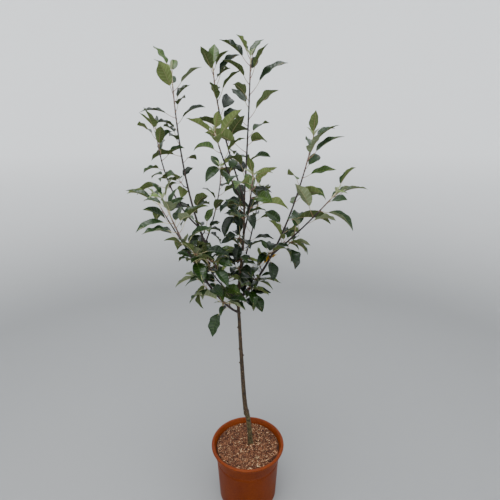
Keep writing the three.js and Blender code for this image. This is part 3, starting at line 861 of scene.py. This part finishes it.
def makeBark(name, root=None):
    bark = barks[name]
    material, tree, shader = startMaterial(name, bark["dark"], bark["roughness"])
    patches = useGroup(
        tree, mottle, Size=bark["size"], Spread=barkLook["spread"],
        First=bark["dark"], Second=bark["light"],
    )
    colour = patches.outputs["Colour"]
    if root:  # the rootstock below the graft has colours of its own
        above = mapRange(tree, objectHeight(tree), *root["fade"])
        lower = useGroup(
            tree, mottle, Size=root["size"], Spread=root["spread"], First=root["dark"], Second=root["light"]
        )
        colour = mixColours(tree, above, lower.outputs["Colour"], colour)
    skin = useGroup(tree, barkSkin, Furrows=bark["furrows"])
    dots = calculate(tree, "MULTIPLY", skin.outputs["PoreMask"], barkLook["pores"])
    setInputs(tree, shader, {"Base Color": mixColours(tree, dots, colour, bark["pore"])})
    addBump(tree, shader, skin.outputs["Height"], *barkLook["bump"])
    return material


# Trunk, in millimetres and degrees.
trunk = {
    "sides": 32, "step": 2.4, "sunk": 9, "inside": 0.985, "cap": (1.2, 0.7),
    "grain": ((0.38, 2.21, 0.0306), (0.16, 3.4, 0.07)),  # how deep, and how close round and along
    "rootGrain": (0.55, 2.2, 0.11), "flareFrom": 222, "flareReach": 9, "flare": ((4, 0.9, 0.7), (7, 0.6, 0)),
    "graft": 371, "graftFade": 6, "graftSlant": 7, "graftTurn": 0.6,
    "graftRings": ((0, 5, 1.5), (9, 3, -0.75)),  # height over the slanting seam, reach and swelling
    "knob": 1.0, "knobFall": 1.8, "knobLong": 0.8,
    "scars": [  # height, angle round the trunk (-90 is its front), size, and 1 where the cut is pale
        (745, 185, 3.6, 0), (710, -66, 3.0, 1), (658, -140, 4.2, 1), (629, -6, 3.6, 0), (596, 178, 3.8, 0),
        (562, -80, 2.6, 1), (480, 60, 2.8, 0), (520, 140, 2.6, 0), (430, -30, 2.4, 0), (690, 80, 3.0, 1),
        (802, 30, 3.2, 0), (388, -120, 3.4, 1), (376, -48, 3.0, 0), (300, 150, 3.2, 0), (284, 20, 2.6, 0),
        (330, -70, 2.4, 0), (252, -150, 2.8, 0), (1150, -80, 2, 0), (1040, 120, 2, 0),
    ],
    "rootBark": {  # it fades into the upper bark between two heights in metres
        "fade": (0.355, 0.385), "size": 95.0, "spread": 0.16,
        "dark": paint(30, 28, 12), "light": paint(92, 82, 52),
    },
}


def barkGrain(turn, z, deep, about, along):
    return deep * noise.noise(Vector((math.cos(turn) * about, math.sin(turn) * about, z * along)))


def trunkRelief(i, point, out):
    z = point.z
    turn = math.atan2(out.y, out.x)
    over = z - trunk["graft"]
    old = 1 / (1 + math.exp(over / trunk["graftFade"]))  # one on the rootstock, none above the graft
    extra = sum(barkGrain(turn, z, *grain) for grain in trunk["grain"])
    extra += old * barkGrain(turn, z, *trunk["rootGrain"])
    flare = math.exp(-(z - trunk["flareFrom"]) / trunk["flareReach"])
    extra += flare * sum(high * math.cos(waves * turn + shift) for waves, high, shift in trunk["flare"])
    seam = over - trunk["graftSlant"] * math.cos(turn - trunk["graftTurn"])
    extra += sum(high * math.exp(-((seam - at) / reach) ** 2) for at, reach, high in trunk["graftRings"])
    for height, angle, size, _ in trunk["scars"]:
        rise = z - height
        if abs(rise) < 3 * size:
            swing = math.remainder(turn - math.radians(angle), 2 * math.pi) * trunkValue(z, 3)
            far = (swing * swing + rise * rise * trunk["knobLong"]) / (size * size)
            extra += trunk["knob"] * size * math.exp(-trunk["knobFall"] * far)
    return extra


def makeTrunk():
    top = trunkStations[-1][0]
    foot = trunkStations[0][0]
    low = foot - trunk["sunk"]
    rings = int((top - low) / trunk["step"])
    points = []
    radii = []
    for i in range(rings + 1):
        z = low + (top - low) * i / rings
        held = max(z, foot)
        points.append(Vector((trunkValue(held, 1), trunkValue(held, 2), z)))
        radii.append(trunkValue(held, 3) * trunk["inside"])
    rise, narrower = trunk["cap"]
    points.append(trunkPoint(top) + Vector((0, 0, rise)))
    radii.append(trunkValue(top, 3) * narrower)
    heap = newHeap()
    addTo(heap, *skinLine(points, radii, trunk["sides"], trunkRelief, level=True))
    return heap


trunkFinish = makeBark("trunkBark", trunk["rootBark"])
finishPiece(pieceFrom("trunkWood", makeTrunk(), [trunkFinish]), "bark", "trunk")


# Boughs: the bare wood of the limbs.
bough = {
    "sides": 16, "step": 2.8, "collar": 0.55, "collarReach": 7, "smoothing": 20,
    "grain": ((0.06, 0.9, 0.045), (0.25, 1.5, 0.024)),  # how close along and round, and how deep
    "budRing": 0.22, "budRingGap": 46,
}


def smoothLine(line, first, last, step):
    length = (line[1] - line[0]).length * (len(line) - 1)
    count = max(4, int((last - first) * length / step))
    points = [pointAt(line, first + (last - first) * i / count) for i in range(count + 1)]
    for _ in range(int(bough["smoothing"] / step)):
        points = softened(points)
    return points, count


def softened(points):
    middle = [(a + b * 2 + c) / 4 for a, b, c in zip(points, points[1:], points[2:])]
    return [points[0], *middle, points[-1]]


def ringMark(stem, share):  # old bud-scale rings round young wood
    place = share * stem["length"] / bough["budRingGap"] + stem["seed"]
    return bough["budRing"] * max(0, math.cos(2 * math.pi * place)) ** 24


def makeBough(heap, stem):
    points, count = smoothLine(stem["line"], 0, stem["bare"], bough["step"])
    radii = []
    for i in range(count + 1):
        share = stem["bare"] * i / count
        radius = between(stem["radii"], share)
        collar = bough["collar"] * radius * math.exp(-share * stem["length"] / bough["collarReach"])
        radii.append(radius + collar + ringMark(stem, share))

    def relief(i, point, out):
        grain = sum(deep * noise.noise(point * along + out * about) for along, about, deep in bough["grain"])
        return grain * radii[i]

    addTo(heap, *skinLine(points, radii, bough["sides"], relief))


boughHeap = newHeap()
boughStems = [stem for stem in shoots if stem["bare"] > 0]
for stem in boughStems:
    makeBough(boughHeap, stem)
finishPiece(
    pieceFrom("boughWood", boughHeap, [makeBark("boughBark")]), "bark",
    *[stem["name"] + "_bough" for stem in boughStems],
)


# Healed pruning cuts: a low callus rim with wood inside.
scar = {
    "sides": 12, "reach": 0.62, "wobble": 0.12, "height": 0.84, "middle": -0.1, "back": -1.2,
    "rings": ((1.0, -0.9), (0.86, 0.0), (0.66, 0.35), (0.5, 0.0), (0.2, -0.1)),  # share of reach, lift
    "wood": (paint(206, 186, 152), paint(158, 136, 104)), "rim": (paint(74, 56, 38), paint(104, 84, 62)),
    "patches": 500.0,
}


def makeScars():
    heap = newHeap()
    sides = scar["sides"]
    rings = len(scar["rings"])
    for height, angle, size, pale in trunk["scars"]:
        turn = math.radians(angle)
        out = Vector((math.cos(turn), math.sin(turn), 0))
        side = Vector((-math.sin(turn), math.cos(turn), 0))
        lifted = trunkValue(height, 3) + scar["height"] * trunk["knob"] * size
        centre = trunkPoint(height) + out * lifted
        points = []
        for share, lift in scar["rings"]:
            for j in range(sides):
                a = 2 * math.pi * j / sides
                reach = share * size * scar["reach"] * (1 + scar["wobble"] * math.sin(3 * a + height))
                points.append(centre + (side * math.cos(a) + up * math.sin(a)) * reach + out * lift)
        faces = ringFaces(rings, sides)
        finishes = []
        for ring in range(rings - 1):
            finishes += [0 if pale and ring > 1 else 1] * sides
        points += [centre + out * scar["middle"], centre + out * scar["back"]]
        last = (rings - 1) * sides
        for j in range(sides):
            k = (j + 1) % sides
            faces.append((last + j, last + k, len(points) - 2))
            faces.append((k, j, len(points) - 1))
            finishes += [1 - pale, 1]
        addTo(heap, points, faces, finishes)
    return heap


scarFinishes = [
    makeGrainy("cutWood", *scar["wood"], scar["patches"], 0.8),
    makeGrainy("callus", *scar["rim"], scar["patches"], 0.75),
]
finishPiece(pieceFrom("pruningScars", makeScars(), scarFinishes), "bark")


# Young shoots and spurs with their buds, in millimetres.
twig = {
    "sides": 9, "step": 3.2, "spurStep": 2.2, "swell": 0.28, "swellReach": 2.2, "tipShare": 0.6,
    "ringDepth": 0.13, "ringLength": 5.5, "downTip": 0.05, "bloomTip": 0.2, "bloomFill": 1.6,
    "patchy": 0.04, "spurPlain": 0.6,
    "downy": {"low_left": 0.13, "left_side": 0.22, "right": 0.06, "far_right": 0.1},
}
bud = {
    "sides": 6, "length": 4.2, "radius": 1.15, "lean": 0.32, "out": 0.7, "tipBack": 2,
    "onShoot": 1.0, "onSpur": 0.8, "atTip": 1.25,
    "shape": ((0, 0.55), (0.22, 0.95), (0.5, 1.0), (0.78, 0.66), (1.0, 0.12)),  # share, width
}


def twigRadius(stem, share):  # swollen where a leaf stands, and ringed on a spur
    radius = between(stem["radii"], share)
    for leaf in stem["grown"]:
        far = (share - leaf["share"]) * stem["length"] / twig["swellReach"]
        radius += twig["swell"] * stem["radii"][1] * math.exp(-far * far)
    if stem["isSpur"]:
        radius *= 1 + twig["ringDepth"] * math.cos(2 * math.pi * share * stem["length"] / twig["ringLength"])
    return radius


def twigFinishes(stem, first, count):  # 0 plain bark, 1 down, 2 spur bark, 3 bloom, for each ring
    downyFrom = 1 - twig["downy"].get(stem["bearer"], twig["downTip"])
    draw = draws(stem["seed"], 911)
    found = []
    for ring in range(count):
        share = between((first, 1), ring / count) + twig["patchy"] * (draw() - 0.5)
        bloom = draw() < (share - downyFrom + twig["bloomTip"]) / twig["bloomTip"] * twig["bloomFill"]
        if stem["isSpur"]:
            found.append(2 if share > twig["spurPlain"] else 0)
        else:
            found.append(1 if share > downyFrom else 3 if bloom else 0)
    return found


def makeTwig(heap, stem):
    first = stem["bare"]
    if stem["isSpur"]:
        count = max(6, int(stem["length"] / twig["spurStep"]))
        points = softened([pointAt(stem["line"], i / count) for i in range(count + 1)])
    else:
        points, count = smoothLine(stem["line"], first, 1, twig["step"])
    radii = [twigRadius(stem, between((first, 1), i / count)) for i in range(count + 1)]
    radii[-1] *= twig["tipShare"]
    corners, faces = skinLine(points, radii, twig["sides"])
    finishes = [kind for kind in twigFinishes(stem, first, count) for _ in range(twig["sides"])]
    finishes += [0] * (len(faces) - len(finishes))
    addTo(heap, corners, faces, finishes)


def makeBud(heap, root, out, axis, radius, size):  # an egg-shaped bud pressed to the stem
    ahead = (axis + out * bud["lean"]).normalized()
    start = root + out * (radius * bud["out"])
    points = [start + ahead * (share * bud["length"] * size) for share, _ in bud["shape"]]
    radii = [wide * bud["radius"] * size for _, wide in bud["shape"]]
    addTo(heap, *skinLine(points, radii, bud["sides"]))


twigHeap = newHeap()
budHeap = newHeap()
for stem in shoots:
    makeTwig(twigHeap, stem)
    size = bud["onSpur" if stem["isSpur"] else "onShoot"]
    for leaf in stem["grown"]:
        radius = between(stem["radii"], leaf["share"])
        makeBud(budHeap, leaf["root"], leaf["out"], leaf["axis"], radius, size)
    axis = directionAt(stem["line"], 1)
    tip = stem["line"][-1] - axis * bud["tipBack"]
    makeBud(budHeap, tip, Vector((0, 0, 0)), axis, 0, bud["atTip"])

twigMaterials = [
    makeBark("youngBark"),
    makeGrainy("downyStem", paint(190, 180, 148), paint(156, 144, 114), 300.0, 0.9),
    makeBark("spurBark"),
    makeBark("bloomBark"),
]
finishPiece(
    pieceFrom("twigWood", twigHeap, twigMaterials), "bark", *[stem["node"] for stem in shoots]
)
budFinish = makeGrainy("budScales", paint(96, 66, 54), paint(140, 118, 98), 400.0, 0.7)
finishPiece(pieceFrom("buds", budHeap, [budFinish]), "bark")


# A leaf's grid of faces follows its veins: each side vein is a thin slanting strip of its own
# finish, and the blade is puffed up between the veins.
blade = {
    "pairs": 8, "steps": (0.0, 0.13, 0.42, 0.74), "slant": 0.085, "thickness": 0.35,
    "across": (-1, -0.86, -0.6, -0.32, -0.05, 0.05, 0.32, 0.6, 0.86, 1), "usualLength": 75,
    "puff": 0.75, "tooth": 0.9, "ripple": (0.02975, 0.10625), "waves": (1.6, 3.0), "phase": (0, 6.28),
    "twist": (-26, 26), "curl": (-0.025, 0.075), "curlFrom": 0.55, "tip": 0.45, "widen": 1.07,
    "leastHalf": 0.25, "veinReach": 0.9, "ribReach": 0.05, "flatHalf": 9,
}
stalk = {
    "sides": 6, "radius": 0.95, "foot": 1.4, "ribStart": 0.8, "ribEnd": 0.28, "ribReach": 0.88,
    "ribSunk": (0.75, 0.1), "bow": 0.05, "rings": 6, "ribRings": 8, "footRings": 3,
    "paleOn": ("low_left", "left_side"),
}


def halfWidth(share):
    return max(0.0, math.sin(math.pi * share**0.8)) ** 0.8 * (1 - blade["tip"] * share**6)


# Shares of the rib. A side vein is the strip that the first step of each pair starts.
bladeRows = [(pair + step) / blade["pairs"] for pair in range(blade["pairs"]) for step in blade["steps"]]
bladeRows.append(1.0)


def bladeFaces():
    steps, wide = len(blade["steps"]), len(blade["across"])
    faces = []
    finishes = []
    for i in range(len(bladeRows) - 1):
        for j, (left, right) in enumerate(zip(blade["across"], blade["across"][1:])):
            a = i * wide + j
            faces.append((a, a + 1, a + wide + 1, a + wide))
            isVein = i % steps == 0 and i > 0 and max(abs(left), abs(right)) < blade["veinReach"]
            finishes.append(1 if left < 0 < right or isVein else 0)
    return faces, finishes


def makeBlade(heap, leaf):
    draw = draws(leaf["key"], 7)
    waves = pick(draw, blade["waves"])
    phases = [pick(draw, blade["phase"]) for _ in range(2)]
    ripple = pick(draw, blade["ripple"]) * leaf["width"]
    twist = math.radians(pick(draw, blade["twist"]))
    curl = pick(draw, blade["curl"]) * leaf["length"]
    small = leaf["length"] / blade["usualLength"]
    steps = len(blade["steps"])
    points = []
    for i, rowShare in enumerate(bladeRows):
        for across in blade["across"]:
            reach = abs(across)
            share = rowShare + blade["slant"] * reach**1.2 * math.sin(math.pi * rowShare)
            point, side, normal = ribFrame(leaf, share)
            side, normal = turned(side, normal, twist * share)
            half = max(blade["leastHalf"], blade["widen"] * leaf["width"] / 2 * halfWidth(share))
            if reach == 1 and 0 < i < len(bladeRows) - 1:
                half += blade["tooth"] * small * (0.5 if i % 2 else -0.5)
            wave = math.sin(2 * math.pi * waves * share + phases[across > 0]) * math.sin(math.pi * share)
            puff = math.sin(math.pi * (i % steps) / steps) if blade["ribReach"] < reach < 1 else 0
            lift = math.sin(leaf["fold"]) * half * reach**1.15 + ripple * reach**2 * wave
            lift += blade["puff"] * small * puff * min(1, half / blade["flatHalf"])
            lift -= 4 * curl * max(0, share - blade["curlFrom"]) ** 2
            points.append(point + side * (across * half * math.cos(leaf["fold"])) + normal * lift)
    addTo(heap, points, *bladeFaces())


def makeStalk(heap, leaf, size=1.0, pale=False):  # the leaf stalk, which runs on as the rib below
    points = []
    radii = []
    normal = ribFrame(leaf, 0)[2]
    reach = (leaf["base"] - leaf["root"]).length
    for i in range(stalk["rings"] + 1):
        share = i / stalk["rings"]
        bow = normal * (-stalk["bow"] * reach * math.sin(math.pi * share))
        points.append(leaf["root"].lerp(leaf["base"], share) + bow)
        radii.append(between((stalk["radius"], stalk["foot"]), (1 - share) ** 4) * size)
    for i in range(1, stalk["ribRings"] + 1):
        share = stalk["ribReach"] * i / stalk["ribRings"]
        point, _, normal = ribFrame(leaf, share)
        radius = between((stalk["radius"] * stalk["ribStart"], stalk["ribEnd"]), share) * size
        points.append(point - normal * (radius * stalk["ribSunk"][0] + stalk["ribSunk"][1]))
        radii.append(radius)
    corners, faces = skinLine(points, radii, stalk["sides"])
    foot, upper = (2, 3) if pale else (0, 1)
    finishes = [foot if face < stalk["footRings"] * stalk["sides"] else upper for face in range(len(faces))]
    addTo(heap, corners, faces, finishes)


# Leaf colours are dealt out by spray: each mass mostly takes one kind, and a few leaves another.
leafKinds = {
    "deepGreen": {"top": paint(12, 26, 8), "topVein": paint(26, 42, 18),
                  "under": paint(74, 84, 52), "underVein": paint(92, 102, 68), "roughness": 0.32},
    "darkGreen": {"top": paint(17, 32, 13), "topVein": paint(33, 50, 26),
                  "under": paint(80, 90, 58), "underVein": paint(98, 108, 74), "roughness": 0.38},
    "midGreen": {"top": paint(25, 43, 12), "topVein": paint(46, 66, 28),
                 "under": paint(86, 97, 58), "underVein": paint(104, 115, 74), "roughness": 0.34},
    # This kind is greyer and bluer than the others: partly the leaves' own tone, partly painted sheen, the
    # sky's reflection painted into its top and underside colours.
    "paintedSheenGreen": {"top": paint(32, 50, 24), "topVein": paint(55, 74, 43),
                  "under": paint(112, 121, 90), "underVein": paint(130, 138, 108), "roughness": 0.42},
    "freshGreen": {"top": paint(44, 63, 20), "topVein": paint(68, 89, 38),
                   "under": paint(108, 121, 72), "underVein": paint(128, 140, 92), "roughness": 0.38},
    "paleTip": {"top": paint(98, 120, 66), "topVein": paint(140, 156, 104),
                "under": paint(164, 176, 134), "underVein": paint(186, 194, 156), "roughness": 0.6},
    "yellowLeaf": {"top": paint(206, 150, 22), "topVein": paint(216, 178, 74),
                   "under": paint(190, 150, 48), "underVein": paint(208, 176, 102), "roughness": 0.5},
}
usualKind = {  # by the limb that carries the mass
    "low_left": "paintedSheenGreen", "left_side": "midGreen", "mid_left": "midGreen", "trunk": "deepGreen",
    "tall_left": "deepGreen", "far_left": "midGreen", "back_left": "deepGreen", "leader": "deepGreen",
    "top_front": "midGreen", "top_back": "deepGreen", "right": "midGreen", "far_right": "paintedSheenGreen",
    "front": "paintedSheenGreen", "back": "deepGreen",
}
otherKinds = ("deepGreen", "darkGreen", "midGreen", "paintedSheenGreen", "freshGreen")
kindShares = {"usual": 0.55, "youngMid": 0.6, "youngAge": 0.1, "others": 4.4}
yellowed = (("right_spur_3", 1),)  # a leaf that has gone yellow, by its mass and number

# Small extra leaves round the tip of a stem. Pairs are ranges, and a step is added for each next leaf.
closeLeaves = {
    "shoot": {
        "count": 4, "seed": 5, "stream": 300, "key": 57, "turn": (90, 120), "spread": (35, 43),
        "spreadStep": -9, "length": (34, 40), "lengthStep": -6, "back": 3, "backStep": -0.7,
        "stalk": 0.16, "stalkFromTip": True, "arch": (14, 44), "roll": (-30, 30), "fold": (42, 56),
        "width": 0.34, "stalkSize": 0.6, "pale": True,
    },
    "spur": {
        "count": 3, "seed": 9, "stream": 400, "key": 61, "turn": (60, 100), "spread": (48, 74),
        "spreadStep": 0, "length": (36, 54), "lengthStep": 0, "back": 1.5, "backStep": 1,
        "stalk": (0.3, 0.5), "stalkFromTip": False, "arch": (16, 56), "roll": (-35, 35), "fold": (14, 36),
        "width": (0.44, 0.58), "stalkSize": 0.8, "pale": False,
    },
}


def kindOf(stem, leaf):
    draw = draws(leaf["key"], 23)
    chance = draw()
    if not stem["isSpur"] and leaf["age"] < kindShares["youngAge"]:
        return "midGreen" if chance < kindShares["youngMid"] else "freshGreen"
    if chance < kindShares["usual"]:
        return usualKind[stem["bearer"]]
    return otherKinds[int(kindShares["others"] * draw())]


def leavesAtTip(stem, form):
    line = stem["line"]
    axis = directionAt(line, 1)
    made = []
    for number in range(form["count"]):
        draw = draws(stem["seed"] + form["seed"], form["stream"] + number)
        angle = pick(draw, form["turn"])
        out = around(axis, stem["turn"] + growth["leafAngle"] * number + angle)
        aim, ahead = leanOut(axis, out, pick(draw, form["spread"]) + form["spreadStep"] * number)
        length = pick(draw, form["length"]) + form["lengthStep"] * number
        root = line[-1] - axis * (form["back"] + form["backStep"] * number)
        start = line[-1] if form["stalkFromTip"] else root
        made.append({
            "root": root, "base": start + aim * (length * pick(draw, form["stalk"])),
            "ahead": ahead, "rise": math.asin(aim.z), "arch": math.radians(pick(draw, form["arch"])),
            "roll": math.radians(pick(draw, form["roll"])), "fold": math.radians(pick(draw, form["fold"])),
            "length": length, "width": length * pick(draw, form["width"]),
            "key": stem["seed"] * form["key"] + number,
        })
    return made


leafFaces = {  # colour, gloss, coat, and a roughness of its own or what it adds to the kind's
    "Top": {"colour": "top", "gloss": 0.14, "coat": 0.24, "rougher": 0},
    "Vein": {"colour": "topVein", "gloss": 0.2, "coat": 0.06, "rougher": 0.1},
    "Under": {"colour": "under", "gloss": 0.12, "coat": 0.0, "roughness": 0.78},
    "UnderVein": {"colour": "underVein", "gloss": 0.12, "coat": 0.0, "roughness": 0.75},
}
leafSheen = {
    "cells": 900.0, "patches": 70.0, "range": (0.3, 0.7), "smoother": 0.07, "rougher": 0.12,
    "coatRoughness": 0.13, "bump": (0.35, 0.0004),
}


def makeLeafFinish(kindName, faceName):  # plain colour with a fine uneven sheen
    kind, face = leafKinds[kindName], leafFaces[faceName]
    roughness = face["roughness"] if "roughness" in face else kind["roughness"] + face["rougher"]
    material, tree, shader = startMaterial(kindName + faceName, kind[face["colour"]], roughness)
    cells = useGroup(tree, fineGrain, Size=leafSheen["cells"])
    patches = useGroup(tree, fineGrain, Size=leafSheen["patches"])
    ends = (roughness - leafSheen["smoother"], roughness + leafSheen["rougher"])
    setInputs(tree, shader, {
        "Roughness": mapRange(tree, patches.outputs["Height"], *leafSheen["range"], *ends),
        "Specular IOR Level": face["gloss"],
        "Coat Weight": face["coat"],
        "Coat Roughness": leafSheen["coatRoughness"],
    })
    addBump(tree, shader, cells.outputs["Height"], *leafSheen["bump"])
    return material


def makeLeaves():
    heaps = {name: newHeap() for name in leafKinds}
    stalks = newHeap()
    for stem in shoots:
        for leaf in stem["grown"]:
            isYellow = (stem["node"], leaf["number"]) in yellowed
            makeBlade(heaps["yellowLeaf" if isYellow else kindOf(stem, leaf)], leaf)
            makeStalk(stalks, leaf, pale=stem["bearer"] in stalk["paleOn"])
        form = closeLeaves["spur" if stem["isSpur"] else "shoot"]
        for leaf in leavesAtTip(stem, form):
            makeBlade(heaps[kindOf(stem, leaf) if stem["isSpur"] else "paleTip"], leaf)
            makeStalk(stalks, leaf, form["stalkSize"], form["pale"])
    return heaps, stalks


leafHeaps, stalkHeap = makeLeaves()
for name, heap in leafHeaps.items():
    piece = pieceFrom(name + "Leaves", heap, [makeLeafFinish(name, face) for face in leafFaces])
    thick = piece.modifiers.new("bladeThickness", "SOLIDIFY")
    thick.thickness = blade["thickness"] * mm
    thick.offset = -1
    thick.material_offset = 2
    thick.material_offset_rim = 2
    applyAll(piece)
    finishPiece(piece, "foliage")
stalkFinishes = [
    makeGrainy("stalkFoot", paint(104, 66, 52), paint(128, 92, 70), 60.0, 0.6),
    makeGrainy("stalkGreen", paint(142, 132, 88), paint(128, 106, 78), 60.0, 0.6),
    makeGrainy("creamFoot", paint(150, 136, 98), paint(126, 104, 76), 60.0, 0.65),
    makeGrainy("creamStalk", paint(192, 186, 140), paint(170, 160, 116), 60.0, 0.65),
]
finishPiece(pieceFrom("leafStalks", stalkHeap, stalkFinishes), "foliage")


# Loop label: a strip round the trunk, its head in front and its tail hanging to the right.
label = {
    "height": 1030, "head": (19, 22), "tail": (62, 26, -78), "tailWidth": 10, "thickness": 0.6,
    "slack": 2.9, "headGap": 0.7, "loopWidth": 9, "loopSteps": 32, "headSteps": 8, "headBow": 0.5,
    "tailSteps": 20, "tailBow": 2.2, "tailInset": 3,
    "colour": paint(246, 248, 250), "shade": paint(232, 235, 238),
    "patches": 80.0, "roughness": 0.38,
}


def ribbon(heap, centres, wide, width):  # a flat strip along points, with wide as its width direction
    points = []
    for i, centre in enumerate(centres):
        before = centres[max(0, i - 1)]
        after = centres[min(len(centres) - 1, i + 1)]
        face = (after - before).cross(wide).normalized()
        for across, high in ((-0.5, -0.5), (0.5, -0.5), (0.5, 0.5), (-0.5, 0.5)):
            points.append(centre + wide * (across * width) + face * (high * label["thickness"]))
    last = (len(centres) - 1) * 4
    ends = [(3, 2, 1, 0), (last, last + 1, last + 2, last + 3)]
    addTo(heap, points, ringFaces(len(centres), 4) + ends)


def makeLabel():
    heap = newHeap()
    back = Vector((0, 1, 0))
    centre = trunkPoint(label["height"])
    radius = trunkValue(label["height"], 3) + label["slack"]
    loop = []
    for i in range(label["loopSteps"] + 1):
        turn = math.radians(-90 + 360 * i / label["loopSteps"])
        loop.append(centre + Vector((math.cos(turn), math.sin(turn), 0)) * radius)
    ribbon(heap, loop, up, label["loopWidth"])
    front = centre - back * (radius + label["headGap"])
    wide, high = label["head"]
    head = []
    for i in range(label["headSteps"] + 1):
        share = i / label["headSteps"]
        bow = label["headBow"] * math.sin(math.pi * share)
        head.append(front + Vector((wide * (share - 0.5), -bow, 0)))
    ribbon(heap, head, up, high)
    reach = Vector(label["tail"])
    start = front + Vector((wide / 2 - label["tailInset"], 0, 0))
    tail = []
    for i in range(label["tailSteps"] + 1):
        share = i / label["tailSteps"]
        tail.append(start + reach * share + back * (label["tailBow"] * math.sin(math.pi * share)))
    ribbon(heap, tail, back.cross(reach).normalized(), label["tailWidth"])
    return heap


def makeLabelFinish():
    material, tree, shader = startMaterial("whitePlastic", label["colour"], label["roughness"])
    patches = useGroup(
        tree, mottle, Size=label["patches"], Spread=0.3, First=label["colour"], Second=label["shade"]
    )
    tree.links.new(patches.outputs["Colour"], shader.inputs["Base Color"])
    return material


labelPiece = pieceFrom("loopLabel", makeLabel(), [makeLabelFinish()], smooth=False)
smoothShade(labelPiece)
finishPiece(labelPiece, "label_plastic", "label")
